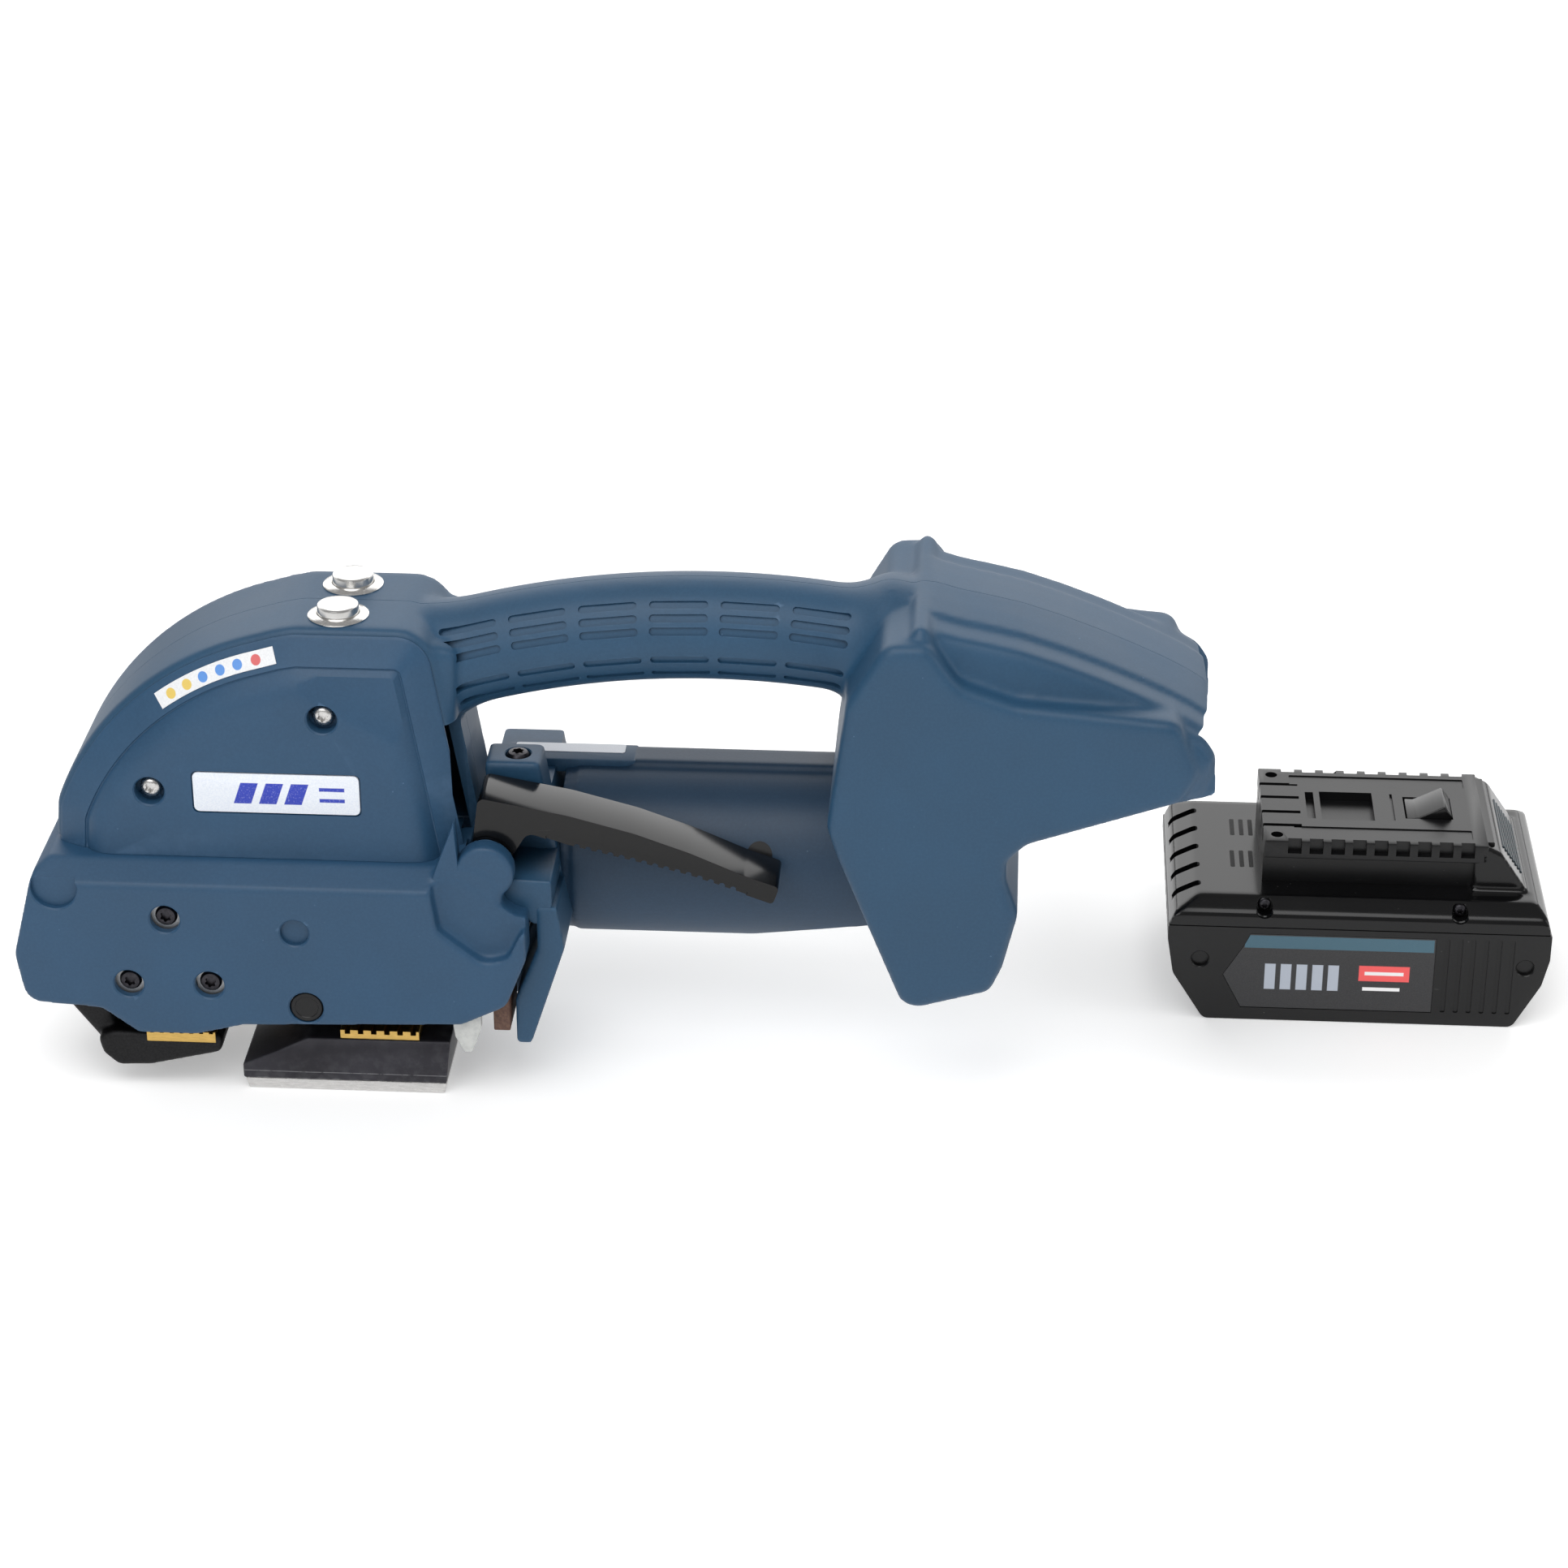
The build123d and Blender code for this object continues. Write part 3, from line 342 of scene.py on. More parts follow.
def turned(name, profile, matrix, sides=48):
    """A lathe shape: profile points are (radius, height) in mm, the axis is Z before the matrix."""
    deselect()
    bpy.ops.mesh.primitive_circle_add(vertices=len(profile), radius=1, fill_type="NOTHING")
    obj = bpy.context.object
    obj.name = name
    for vertex, (radius, height) in zip(obj.data.vertices, profile):
        vertex.co = Vector((radius, 0, height)) * MM
    edit(obj, "EDGE")
    last = len(profile) - 1
    mesh = bmesh.from_edit_mesh(obj.data)
    mesh.verts.ensure_lookup_table()
    closing = mesh.edges.get((mesh.verts[0], mesh.verts[last]))
    if profile[0][0] < 0.01 and profile[last][0] < 0.01:
        mesh.edges.remove(closing)
    bmesh.update_edit_mesh(obj.data)
    bpy.ops.mesh.select_all(action="SELECT")
    bpy.ops.mesh.spin(steps=sides, angle=2 * math.pi, center=(0, 0, 0), axis=(0, 0, 1))
    bpy.ops.mesh.select_all(action="SELECT")
    bpy.ops.mesh.remove_doubles(threshold=0.00002)
    bpy.ops.mesh.normals_make_consistent(inside=False)
    leave()
    obj.data.transform(matrix)
    return obj


def at(x, y, z):
    return Matrix.Translation(Vector((x, y, z)) * MM)


NEAR_FACING = Matrix.Rotation(math.radians(90), 4, "X")      # +Z turned to -Y
FAR_FACING = Matrix.Rotation(math.radians(-90), 4, "X")


def wash(obj):
    """Merge doubles and drop crumbs that a boolean leaves."""
    edit(obj, "VERT")
    bpy.ops.mesh.select_all(action="SELECT")
    bpy.ops.mesh.remove_doubles(threshold=0.000005)
    bpy.ops.mesh.delete_loose()
    leave()
    return obj


def finish(obj, name, body, paint, nodes=(), angle=34):
    obj.name = name
    obj.data.name = name
    obj.data.materials.clear()
    obj.data.materials.append(paint)
    for face in obj.data.polygons:
        face.material_index = 0
    only(obj)
    bpy.ops.object.shade_smooth_by_angle(angle=math.radians(angle))
    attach(obj, body)
    if nodes:
        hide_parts(*nodes)
    return obj


# --- materials -----------------------------------------------------------------------------
class Wire:
    """A shader socket that takes Python arithmetic."""

    def __init__(self, paint, socket):
        self.paint = paint
        self.socket = socket

    def _math(self, operation, first, second):
        return self.paint.node("Math", {"operation": operation}, {0: first, 1: second})

    def __add__(self, other):
        return self._math("ADD", self, other)

    def __radd__(self, other):
        return self._math("ADD", other, self)

    def __sub__(self, other):
        return self._math("SUBTRACT", self, other)

    def __rsub__(self, other):
        return self._math("SUBTRACT", other, self)

    def __mul__(self, other):
        return self._math("MULTIPLY", self, other)

    def __rmul__(self, other):
        return self._math("MULTIPLY", other, self)

    def __truediv__(self, other):
        return self._math("DIVIDE", self, other)

    def bigger(self, other):
        return self._math("MAXIMUM", self, other)

    def smaller(self, other):
        return self._math("MINIMUM", self, other)

    def size(self):
        return self.paint.node("Math", {"operation": "ABSOLUTE"}, {0: self})

    def ramp(self, low, high):
        """0 below low, 1 above high, smooth between."""
        return self.paint.node("MapRange", {"interpolation_type": "SMOOTHSTEP"},
                               {"Value": self, "From Min": low, "From Max": high})


class Paint:
    """One procedural finish."""

    def __init__(self, name, **constants):
        self.material = bpy.data.materials.new(name)
        self.material.use_nodes = True
        self.tree = self.material.node_tree
        self.shader = self.tree.nodes["Principled BSDF"]
        for key, value in constants.items():
            self.shader.inputs[key.replace("_", " ")].default_value = value
        place_ = self.node("TexCoord", out="Object")
        self.where = self.node("VectorMath", {"operation": "SCALE"}, {0: place_, "Scale": 1000.0})
        split = self.node("SeparateXYZ", sockets={0: self.where})
        self.x = split
        self.y = Wire(self, split.socket.node.outputs[1])
        self.z = Wire(self, split.socket.node.outputs[2])

    def feed(self, socket, value):
        if isinstance(value, Wire):
            self.tree.links.new(value.socket, socket)
        elif isinstance(value, (tuple, list)) and len(value) == 3 and socket.type == "RGBA":
            socket.default_value = (*value, 1.0)
        else:
            socket.default_value = value

    def node(self, kind, settings=(), sockets=(), out=0):
        made = self.tree.nodes.new("ShaderNode" + kind)
        for key, value in dict(settings).items():
            setattr(made, key, value)
        for key, value in dict(sockets).items():
            self.feed(made.inputs[key], value)
        return Wire(self, made.outputs[out])

    def mix(self, share, first, second):
        return self.node("Mix", {"data_type": "RGBA"}, {0: share, 6: first, 7: second}, out=2)

    def noise(self, scale, detail=3.0, roughness=0.55, distortion=0.0, where=None):
        return self.node("TexNoise", sockets={"Vector": where or self.where, "Scale": scale, "Detail": detail,
                                              "Roughness": roughness, "Distortion": distortion})

    def cells(self, scale, where=None):
        return self.node("TexVoronoi", sockets={"Vector": where or self.where, "Scale": scale})

    def stretch(self, x, y, z):
        return self.node("VectorMath", {"operation": "MULTIPLY"}, {0: self.where, 1: (x, y, z)})

    def bump(self, height, depth_mm, strength=1.0, before=None):
        sockets = {"Height": height, "Distance": depth_mm * MM, "Strength": strength}
        if before is not None:
            sockets["Normal"] = before
        return self.node("Bump", sockets=sockets)

    def to(self, **channels):
        for key, value in channels.items():
            self.feed(self.shader.inputs[key.replace("_", " ")], value)
        return self.material

    def box(self, x0, x1, z0, z1, edge=0.12):
        """1 inside a rectangle seen from the side."""
        across = (self.x - (x0 + x1) / 2).size() * -1 + (x1 - x0) / 2
        up = (self.z - (z0 + z1) / 2).size() * -1 + (z1 - z0) / 2
        return across.smaller(up).ramp(-edge, edge)


def moulded_plastic(name, base, rough=0.5, grain=0.035, scuffs=None):
    """Matte moulded plastic: spark texture, faint clouding, dust, rubbed edges."""
    p = Paint(name, IOR=1.46)
    cloud = p.noise(0.02, 4.0, 0.6)
    colour = p.mix(cloud.ramp(0.3, 0.75), tuple(c * 0.93 for c in base), tuple(c * 1.08 for c in base))
    fine = p.noise(1.1, 2.0, 0.5)
    colour = p.mix(fine.ramp(0.35, 0.7) * 0.10, colour, tuple(min(1, c * 1.7 + 0.01) for c in base))
    pale = tuple(min(1, c * 1.8 + 0.05) for c in base)
    speck = p.cells(0.16).ramp(0.055, 0.03)
    speck = speck * p.noise(0.05, 2.0).ramp(0.5, 0.62)
    colour = p.mix(speck * 0.5, colour, pale)
    marks = p.noise(0.5, 6.0, 0.75, 1.2, p.stretch(1.0, 0.4, 0.35)).ramp(0.62, 0.72)
    area = p.noise(0.035, 2.0).ramp(0.5, 0.72)
    if scuffs:
        for x0, x1, z0, z1 in scuffs:
            area = area.bigger(p.box(x0, x1, z0, z1, 5.0))
    colour = p.mix(marks * area * 0.28, colour, pale)
    worn = p.node("NewGeometry", out="Pointiness").ramp(0.53, 0.60)
    colour = p.mix(worn * (0.25 + p.noise(0.25, 4.0).ramp(0.35, 0.7) * 0.35), colour, pale)
    roughness = rough + (cloud - 0.5) * 0.14 + marks * area * 0.12 - worn * 0.06
    grit = p.noise(1.6, 2.0, 0.6)
    skin = p.bump(grit, grain, 0.55)
    return p.to(Base_Color=colour, Roughness=roughness, Normal=skin)


def black_plastic(name, base, rough, grain, depth):
    p = Paint(name, IOR=1.38)
    cloud = p.noise(0.03, 3.0)
    colour = p.mix(cloud.ramp(0.35, 0.7), base, tuple(c * 1.35 for c in base))
    scratch = p.noise(0.25, 5.0, 0.7, 0.6, p.stretch(0.4, 1.2, 3.0)).ramp(0.66, 0.74)
    dust = p.cells(0.22).ramp(0.05, 0.025) * p.noise(0.06).ramp(0.45, 0.6)
    colour = p.mix(scratch * 0.10 + dust * 0.30, colour, (0.22, 0.22, 0.22))
    roughness = rough + (cloud - 0.5) * 0.10 + scratch * 0.15
    return p.to(Base_Color=colour, Roughness=roughness, Normal=p.bump(p.noise(grain, 2.0), depth, 0.6))


def metal(name, base, rough, streak=(1, 1, 1), depth=0.01, marks=0.25, stain=None):
    """Machined or forged metal; streak stretches the tool marks."""
    p = Paint(name, Metallic=1.0)
    lines = p.noise(1.4, 5.0, 0.65, 0.0, p.stretch(*streak))
    cloud = p.noise(0.06, 4.0)
    dark = tuple(c * (1 - marks) for c in base)
    colour = p.mix(lines.ramp(0.3, 0.7), dark, base)
    colour = p.mix(cloud.ramp(0.5, 0.75) * 0.4, colour, stain or dark)
    roughness = rough + (lines - 0.5) * 0.22 + (cloud - 0.5) * 0.16
    return p.to(Base_Color=colour, Roughness=roughness, Normal=p.bump(lines, depth, 0.6))


def ring_metal(name, base, rough, cx, cy):
    """Steel faced on a lathe: fine rings round a centre."""
    p = Paint(name, Metallic=1.0)
    dx, dy = p.x - cx, p.y - cy
    radius = p.node("Math", {"operation": "SQRT"}, {0: dx * dx + dy * dy})
    rings = p.node("Math", {"operation": "SINE"}, {0: radius * 26.0})
    break_up = p.noise(0.9, 3.0)
    colour = p.mix((rings * 0.5 + 0.5) * break_up, tuple(c * 0.80 for c in base), base)
    roughness = rough + (break_up - 0.5) * 0.12
    return p.to(Base_Color=colour, Roughness=roughness, Normal=p.bump(rings * 0.5 + break_up * 0.5, 0.006, 0.5))


def card(name, base, rough, ink, fibres=2.0):
    """A printed or painted surface with flecks."""
    p = Paint(name)
    fleck = p.noise(fibres, 4.0, 0.6)
    colour = p.mix(fleck.ramp(0.35, 0.7), base, ink)
    return p.to(Base_Color=colour, Roughness=rough + (fleck - 0.5) * 0.12, Normal=p.bump(fleck, 0.015, 0.4))


BLUE = (0.014, 0.059, 0.120)
LOWER_SCUFFS = [(18, 32, 24, 60), (-30, 30, 24, 29), (28, 52, 52, 62)]
PAINTS = {
    "housing_blue": moulded_plastic("housing_blue_plastic", BLUE),
    "cover_blue": moulded_plastic("cover_blue_plastic", (0.016, 0.061, 0.126), 0.5, 0.035, LOWER_SCUFFS),
    "black_gloss": black_plastic("gloss_black_plastic", (0.0035, 0.0035, 0.0038), 0.16, 1.2, 0.004),
    "black_satin": black_plastic("satin_black_plastic", (0.005, 0.005, 0.0054), 0.32, 2.2, 0.016),
    "blackened_steel": metal("blackened_steel", (0.055, 0.053, 0.060), 0.38, (1, 1, 1), 0.01, 0.35),
    "bright_steel": metal("ground_steel", (0.62, 0.61, 0.60), 0.26, (0.2, 2.5, 1.2), 0.01, 0.2),
    "cast_aluminium": metal("cast_aluminium", (0.42, 0.43, 0.44), 0.5, (1, 1, 1), 0.05, 0.15),
    "brass": metal("brass", (0.66, 0.43, 0.13), 0.32, (0.3, 1, 2.5), 0.012, 0.22),
    "white_label": card("label_white", (0.76, 0.79, 0.84), 0.38, (0.70, 0.73, 0.79), 3.0),
    "pale_plastic": card("pale_plastic", (0.56, 0.57, 0.55), 0.42, (0.46, 0.47, 0.46), 0.4),
    "brown_block": card("brown_block", (0.085, 0.038, 0.025), 0.6, (0.14, 0.07, 0.045), 1.2),
    "board_green": card("board_green", (0.01, 0.09, 0.035), 0.4, (0.015, 0.13, 0.05), 0.8),
    "belt_rubber": card("belt_rubber", (0.012, 0.012, 0.012), 0.75, (0.03, 0.03, 0.03), 1.5),
    "cell_wrap": card("cell_wrap", (0.02, 0.10, 0.30), 0.35, (0.02, 0.12, 0.36), 0.5),
    "copper": metal("copper", (0.72, 0.32, 0.17), 0.35, (1, 1, 1), 0.02, 0.3),
}


# --- outlines shared by several pieces ---------------------------------------------------------
HEAD_TOP = 147.0
HEAD_FOOT = 75.7
HEAD_HALF = 22.0
CHEEK_HALF = 40.0


def head_loop(foot):
    """Side outline of the head; its two straight flanks run on down to the foot."""
    bow = arc((-86, 88), (-63.5, 122), (-24, 144), 22)
    shoulder = arc((17, HEAD_TOP), (26, 144), (30, 136), 8)
    below = HEAD_FOOT - foot
    front, rear = (-87 - below * 0.081, foot), (40 + below * 0.164, foot)
    return [front] + bow + [(-18, 145.8), (-12, HEAD_TOP)] + shoulder + [(33, 118), (36.5, 97), rear]


HOOD_POINTS = [(158, 118), (160, 140), (170, 157), (176, 157), (200, 151), (223, 143), (241, 135), (254, 127),
               (257.5, 119), (253, 106), (215, 96), (170, 96)]
CHEEK_POINTS = [(161, 154), (150, 135), (144.7, 95), (148, 85), (167, 37.5), (172, 35.7), (193.5, 42), (197,
                50),
                (201.2, 68), (197.4, 79), (197.4, 85.5), (203, 91.3), (247, 106.5), (252.3, 115), (245.5,
                                                                                                   132.2),
                (199, 136.4), (182.5, 142.0), (173.5, 154.6)]
CHEEK_RADII = [6, 8, 5, 5, 4, 4, 4, 4, 4, 3, 3, 4, 5, 5, 5, 12, 10, 5]
LOWER_POINTS = [(-87, HEAD_FOOT), (-91, 73), (-98, 46), (-95.5, 30), (-73, 28.5), (-62, 20.2), (-45, 20.2),
                (-30, 24), (36, 26.3), (49.5, 33), (55.8, 49), (55.8, 66), (42, HEAD_FOOT)]
LOWER_RADII = [1.5, 3, 6, 6, 4, 4, 4, 4, 6, 6, 4, 4, 1.5]
hood_loop = rounded(HOOD_POINTS, 4)
cheek_loop = rounded(CHEEK_POINTS, CHEEK_RADII)
lower_loop = rounded(LOWER_POINTS, LOWER_RADII)
BAY_TURN = Matrix.Translation(Vector((203, 0, 91.3)) * MM) @ Matrix.Rotation(math.radians(-19), 4, "Y")

GRIP_START = (20, 126)
GRIP_MIDDLE = (100, 141.5)
GRIP_END = (176, 133)
GRIP_LINE = arc(GRIP_START, GRIP_MIDDLE, GRIP_END, 60)


def grip_frame(share):
    """Point, direction and outward normal of the handle's curve at 0 to 1 of its length."""
    spot = share * (len(GRIP_LINE) - 1)
    i = min(int(spot), len(GRIP_LINE) - 2)
    a, b = Vector(GRIP_LINE[i]), Vector(GRIP_LINE[i + 1])
    point = a.lerp(b, spot - i)
    along = (b - a).normalized()
    return point, along, Vector((-along.y, along.x))


def grip_size(share):
    """Half width and half height of the grip, flared at both ends."""
    head_flare = max(0.0, 1 - (share - 0.06) / 0.085) if share > 0.06 else 1.0
    hood_flare = max(0.0, 1 - (0.875 - share) / 0.08) if share < 0.875 else 1.0
    swell = 3.0 * head_flare ** 2 + 7.0 * hood_flare ** 2
    return 16.3 + swell * 0.9, 15.8 + swell * 0.8


def skin(name, rings):
    """A closed body drawn over rings of points (mm), each with the same count."""
    count = len(rings[0])
    deselect()
    bpy.ops.mesh.primitive_grid_add(x_subdivisions=count, y_subdivisions=len(rings) - 1, size=1)
    obj = bpy.context.object
    obj.name = name
    for index, vertex in enumerate(obj.data.vertices):
        column, row = index % (count + 1), index // (count + 1)
        vertex.co = Vector(rings[row][column % count]) * MM
    edit(obj, "EDGE")
    bpy.ops.mesh.select_all(action="SELECT")
    bpy.ops.mesh.remove_doubles(threshold=0.00001)
    bpy.ops.mesh.select_all(action="DESELECT")
    bpy.ops.mesh.select_non_manifold()
    bpy.ops.mesh.edge_face_add()
    bpy.ops.mesh.select_all(action="SELECT")
    bpy.ops.mesh.normals_make_consistent(inside=False)
    leave()
    return obj


def grip(shrunk=0.0, sides=48, rings=60):
    """The curved handle, ring by ring along its centre line."""
    hoops = []
    for ring in range(rings + 1):
        share = ring / rings
        point, along, up = grip_frame(share)
        ry, rz = grip_size(share)
        hoop = []
        for turn in range(sides):
            angle = 2 * math.pi * turn / sides
            lift = math.sin(angle) * (rz - shrunk)
            hoop.append((point.x + up.x * lift, math.cos(angle) * (ry - shrunk), point.y + up.y * lift))
        hoops.append(hoop)
    return skin("grip", hoops)


# --- housing halves --------------------------------------------------------------------------------
def slope_cut(obj, point, normal):
    """Slice a corner off with a flat plane and close the cut."""
    edit(obj)
    bpy.ops.mesh.select_all(action="SELECT")
    bpy.ops.mesh.bisect(plane_co=Vector(point) * MM, plane_no=normal, use_fill=True, clear_outer=True)
    leave()
    return obj


HOOD_STATIONS = [(170.5, 149.5), (172.0, 155.0), (174.0, 157.6), (182.0, 155.3), (191.0, 153.5), (200.0, 151.5),
                 (212.0, 147.6), (223.3, 143.3), (233.0, 139.2), (241.4, 135.4), (248.5, 131.7), (252.0, 129.5),
                 (254.2, 127.9), (255.6, 126.0), (256.8, 122.8), (257.4, 119.0)]
HOOD_HALF_SECTION = [(0.0, 0.0), (10.0, 0.4), (19.3, 1.0), (19.9, 2.1), (28.5, 2.4), (30.4, 3.4), (31.4,
                     5.8), (32.7, 12.0),
                     (33.0, 20.0)]


def hood_section(x, top):
    """Across the hood: flat top between two fine steps, then rounded over to the sides."""
    foot = max(97.0, 92.0 + (x - 200) * 0.25)
    room = top - foot
    near = [(-y, top - min(drop, room * drop / 21)) for y, drop in HOOD_HALF_SECTION]
    near.append((-33.0, foot))
    far = [(-y, z) for y, z in near[1:]]
    return [(x, y, z) for y, z in near + far[::-1]]


def hood_block():
    return skin("hood", [hood_section(*station) for station in HOOD_STATIONS])


def housing_solids():
    head = slab("head", head_loop(HEAD_FOOT), "Y", -HEAD_HALF, HEAD_HALF)
    soften(head, 2.2, lambda a, b, e: abs(a.y) > 21.9 and abs(b.y) > 21.9 and abs(a.y - b.y) < 0.01, 3)
    collar = slab("collar", rounded([(16, 104), (14, 147), (20, 147), (27.5, 142), (35.5, 139.5), (34.5,
                  112), (37, 97)], 3),
                  "Y", -20, 20)
    soften(collar, 5.0, lambda a, b, e: abs(a.y) > 19.9 and abs(b.y) > 19.9, 4)
    cheeks = slab("cheeks", cheek_loop, "Y", -CHEEK_HALF, CHEEK_HALF)
    soften(cheeks, 3.4, lambda a, b,
           e: abs(a.y) > CHEEK_HALF - 0.1 and abs(b.y) > CHEEK_HALF - 0.1 and abs(a.y - b.y) < 0.01, 4)
    wing_loop = rounded([(196, 134), (236, 131.5), (246, 129.0), (253, 125), (257, 119), (253.5, 107), (235,
                        101), (196, 90)], 4)
    wings = [slab("wing", wing_loop, "Y", 26 * side, 36.5 * side) for side in (-1, 1)]
    for wing in wings:
        soften(wing, 4.0, lambda a, b, e: abs(a.y) > 36 and abs(b.y) > 36, 4)
    column = slab("column", rounded([(165, 152), (160, 120), (176, 120), (174.5, 155.5), (171, 158.9)], 4),
                  "Y", -35, 35)
    soften(column, 5.0, lambda a, b, e: abs(a.y) > 34.9 and abs(b.y) > 34.9, 4)
    return [head, collar, grip(), hood_block(), cheeks, column] + wings


def grip_slots():
    """Six columns of engraved slots: three rows above the side line and two below."""
    model = slab("slot", rounded([(-8.6, -1.2), (8.6, -1.2), (8.6, 1.2), (-8.6, 1.2)], 1.15, 4), "Z", -1.0, 2.0)
    slots = []
    for column in range(6):
        share = 0.139 + column * 0.1265
        point, along, up = grip_frame(share)
        ry, rz = grip_size(share)
        for degrees in (47, 32, 18, -15, -36):
            angle = math.radians(degrees)
            spot = Vector((point.x + up.x * math.sin(angle) * rz, -math.cos(angle) * ry,
                           point.y + up.y * math.sin(angle) * rz))
            outward = Vector((up.x * math.sin(angle) / rz, -math.cos(angle) / ry,
                              up.y * math.sin(angle) / rz)).normalized()
            forward = Vector((along.x, 0, along.y))
            across = outward.cross(forward)
            turn = Matrix((forward, across, outward)).transposed().to_4x4()
            slots.append(duplicate(model, Matrix.Translation((spot + outward * 0.15) * MM) @ turn))
    bpy.data.objects.remove(model)
    return join(*slots)


def make_housing():
    voxel = 1.2
    body = mould("housing", housing_solids(), voxel, 5)
    cut(body, block(-200, 400, -100, -0.1, -50, 250), operation="INTERSECT")
    cavity = mould("cavity", [
        slab("room", shrink(head_loop(HEAD_FOOT - 6), 3.2), "Y", -18.8, 18.8),
        grip(3.6, 24, 24),
        slab("room", shrink(hood_loop, 5.0), "Y", -18.0, 18.0),
        slab("room", shrink(rounded(CHEEK_POINTS, 1.0), 6.0), "Y", -32.6, 32.6)], 2.2, 2)
    cut(body, cavity)
    bay = slab("bay", [(-1, -12), (70, -12), (70, 17), (-1, 17)], "Y", -32.5, 32.5)
    bay.data.transform(BAY_TURN)
    cut(body, bay)
    cut(body, grip_slots())
    cut(body, rod("Z", 0, -11, 8.1, 120, 160))
    for x, z in ((-55.7, 97.0), (-3.1, 121.9)):
        cut(body, rod("Y", x, z, 2.0, -24, -15, 20))
    far = flip_y(body)
    cut(body, block(24, 46, -35, -9.2, HEAD_FOOT - 2, 117))
    finish(wash(body), "housing_shell_near", "tool", PAINTS["housing_blue"],
           ["housing_near_half"])
    finish(wash(far), "housing_shell_far", "tool", PAINTS["housing_blue"], ["housing_far_half"])


# --- covers ----------------------------------------------------------------------------------------------
def screw_pocket(x, z, face, depth, radius):
    """A counterbore cutter with a slightly rounded lip, opening towards -Y."""
    profile = [(0.0, -depth), (radius, -depth), (radius, -0.45), (radius + 0.45, 0.0), (radius + 0.5, 1.5),
               (0.0, 1.5)]
    return turned("pocket", profile, at(x, face, z) @ NEAR_FACING, 40)


BORDER = [(0.0, 0.02), (0.0, 0.45), (0.25, 0.75), (0.8, 1.1), (8.1, 4.75), (8.4, 4.45), (8.75, 4.4), (9.1, 4.8),
          (10.4, 6.2), (12.0, 7.3), (13.8, 8.05), (15.8, 8.45), (18.2, 8.58)]
COVER_SCREWS = [(-55.7, 97.0), (-3.1, 121.9)]
PLATE_AREA = (-42.5, 6.9, 91.0, 103.8)


def resample(loop, count):
    """The same outline between its two lowest corners, in even steps."""
    rear = max(range(len(loop)), key=lambda i: loop[i][0] - loop[i][1] * 3)
    front = min(range(len(loop)), key=lambda i: loop[i][0] + loop[i][1] * 3)
    path = loop[front:rear + 1] if front < rear else loop[front:] + loop[:rear + 1]
    path = [Vector(point) for point in path]
    lengths = [0.0]
    for a, b in zip(path, path[1:]):
        lengths.append(lengths[-1] + (b - a).length)
    points, spot = [], 0
    for i in range(count):
        goal = lengths[-1] * i / (count - 1)
        while spot < len(path) - 2 and lengths[spot + 1] < goal:
            spot += 1
        span = lengths[spot + 1] - lengths[spot]
        points.append(path[spot].lerp(path[spot + 1], (goal - lengths[spot]) / span if span else 0.0))
    return points


def side_cover(for_lever):
    """A sloping border round a raised flat panel, ring inside ring."""
    count = 150
    outer = head_loop(HEAD_FOOT - 36)
    rings = [resample(shrink(outer, 1.6 + inset) if inset else shrink(outer, 1.6), count) for inset,
             lift in BORDER]
    deselect()
    bpy.ops.mesh.primitive_grid_add(x_subdivisions=count - 1, y_subdivisions=len(rings) - 1, size=1)
    cover = bpy.context.object
    cover.name = "cover"
    for index, vertex in enumerate(cover.data.vertices):
        column, row = index % count, index // count
        spot = rings[row][column]
        vertex.co = Vector((spot.x, -HEAD_HALF - BORDER[row][1], spot.y)) * MM
    edit(cover, "EDGE")
    mesh = bmesh.from_edit_mesh(cover.data)
    bmesh.ops.contextual_create(mesh,
                                geom=[e for e in mesh.edges if min(v.index for v in e.verts) >= count * (len(rings) - 1)])
    bmesh.update_edit_mesh(cover.data)
    bpy.ops.mesh.select_all(action="SELECT")
    bpy.ops.mesh.bisect(plane_co=(0, 0, (HEAD_FOOT + 0.1) * MM), plane_no=(0, 0, -1), use_fill=False,
                        clear_outer=True)
    bpy.ops.mesh.select_all(action="DESELECT")
    bpy.ops.mesh.select_non_manifold()
    bpy.ops.mesh.edge_face_add()
    bpy.ops.mesh.select_all(action="SELECT")
    bpy.ops.mesh.normals_make_consistent(inside=False)
    leave()
    room = slab("hollow", shrink(head_loop(HEAD_FOOT - 10), 13.5), "Y", -26.0, -HEAD_HALF + 1)
    cut(cover, room)
    if for_lever:
        behind = slab("behind", [(32.6, 117), (33.4, 95), (36.0, 80), (36.0, 60), (60, 60), (60, 117)], "Y",
                      -31, 0)
        cut(cover, behind)
    for x, z in COVER_SCREWS:
        cut(cover, screw_pocket(x, z, -30.5, 4.5, 4.5))
        cut(cover, rod("Y", x, z, 1.95, -30, -20, 20))
    return cover


def make_side_covers():
    near = side_cover(True)
    x0, x1, z0, z1 = PLATE_AREA
    frame_loop = rounded([(x0 - 0.45, z0 - 0.45), (x1 + 0.45, z0 - 0.45), (x1 + 0.45, z1 + 0.45),
                          (x0 - 0.45, z1 + 0.45)], 1.9)
    cut(near, slab("recess", frame_loop, "Y", -33, -29.7))
    far = side_cover(False)
    reflect_y(far)
    finish(wash(near), "side_cover_near", "tool", PAINTS["cover_blue"], ["upper_side_cover"], 28)
    finish(wash(far), "side_cover_far", "tool", PAINTS["cover_blue"], ["back_side_cover"], 28)


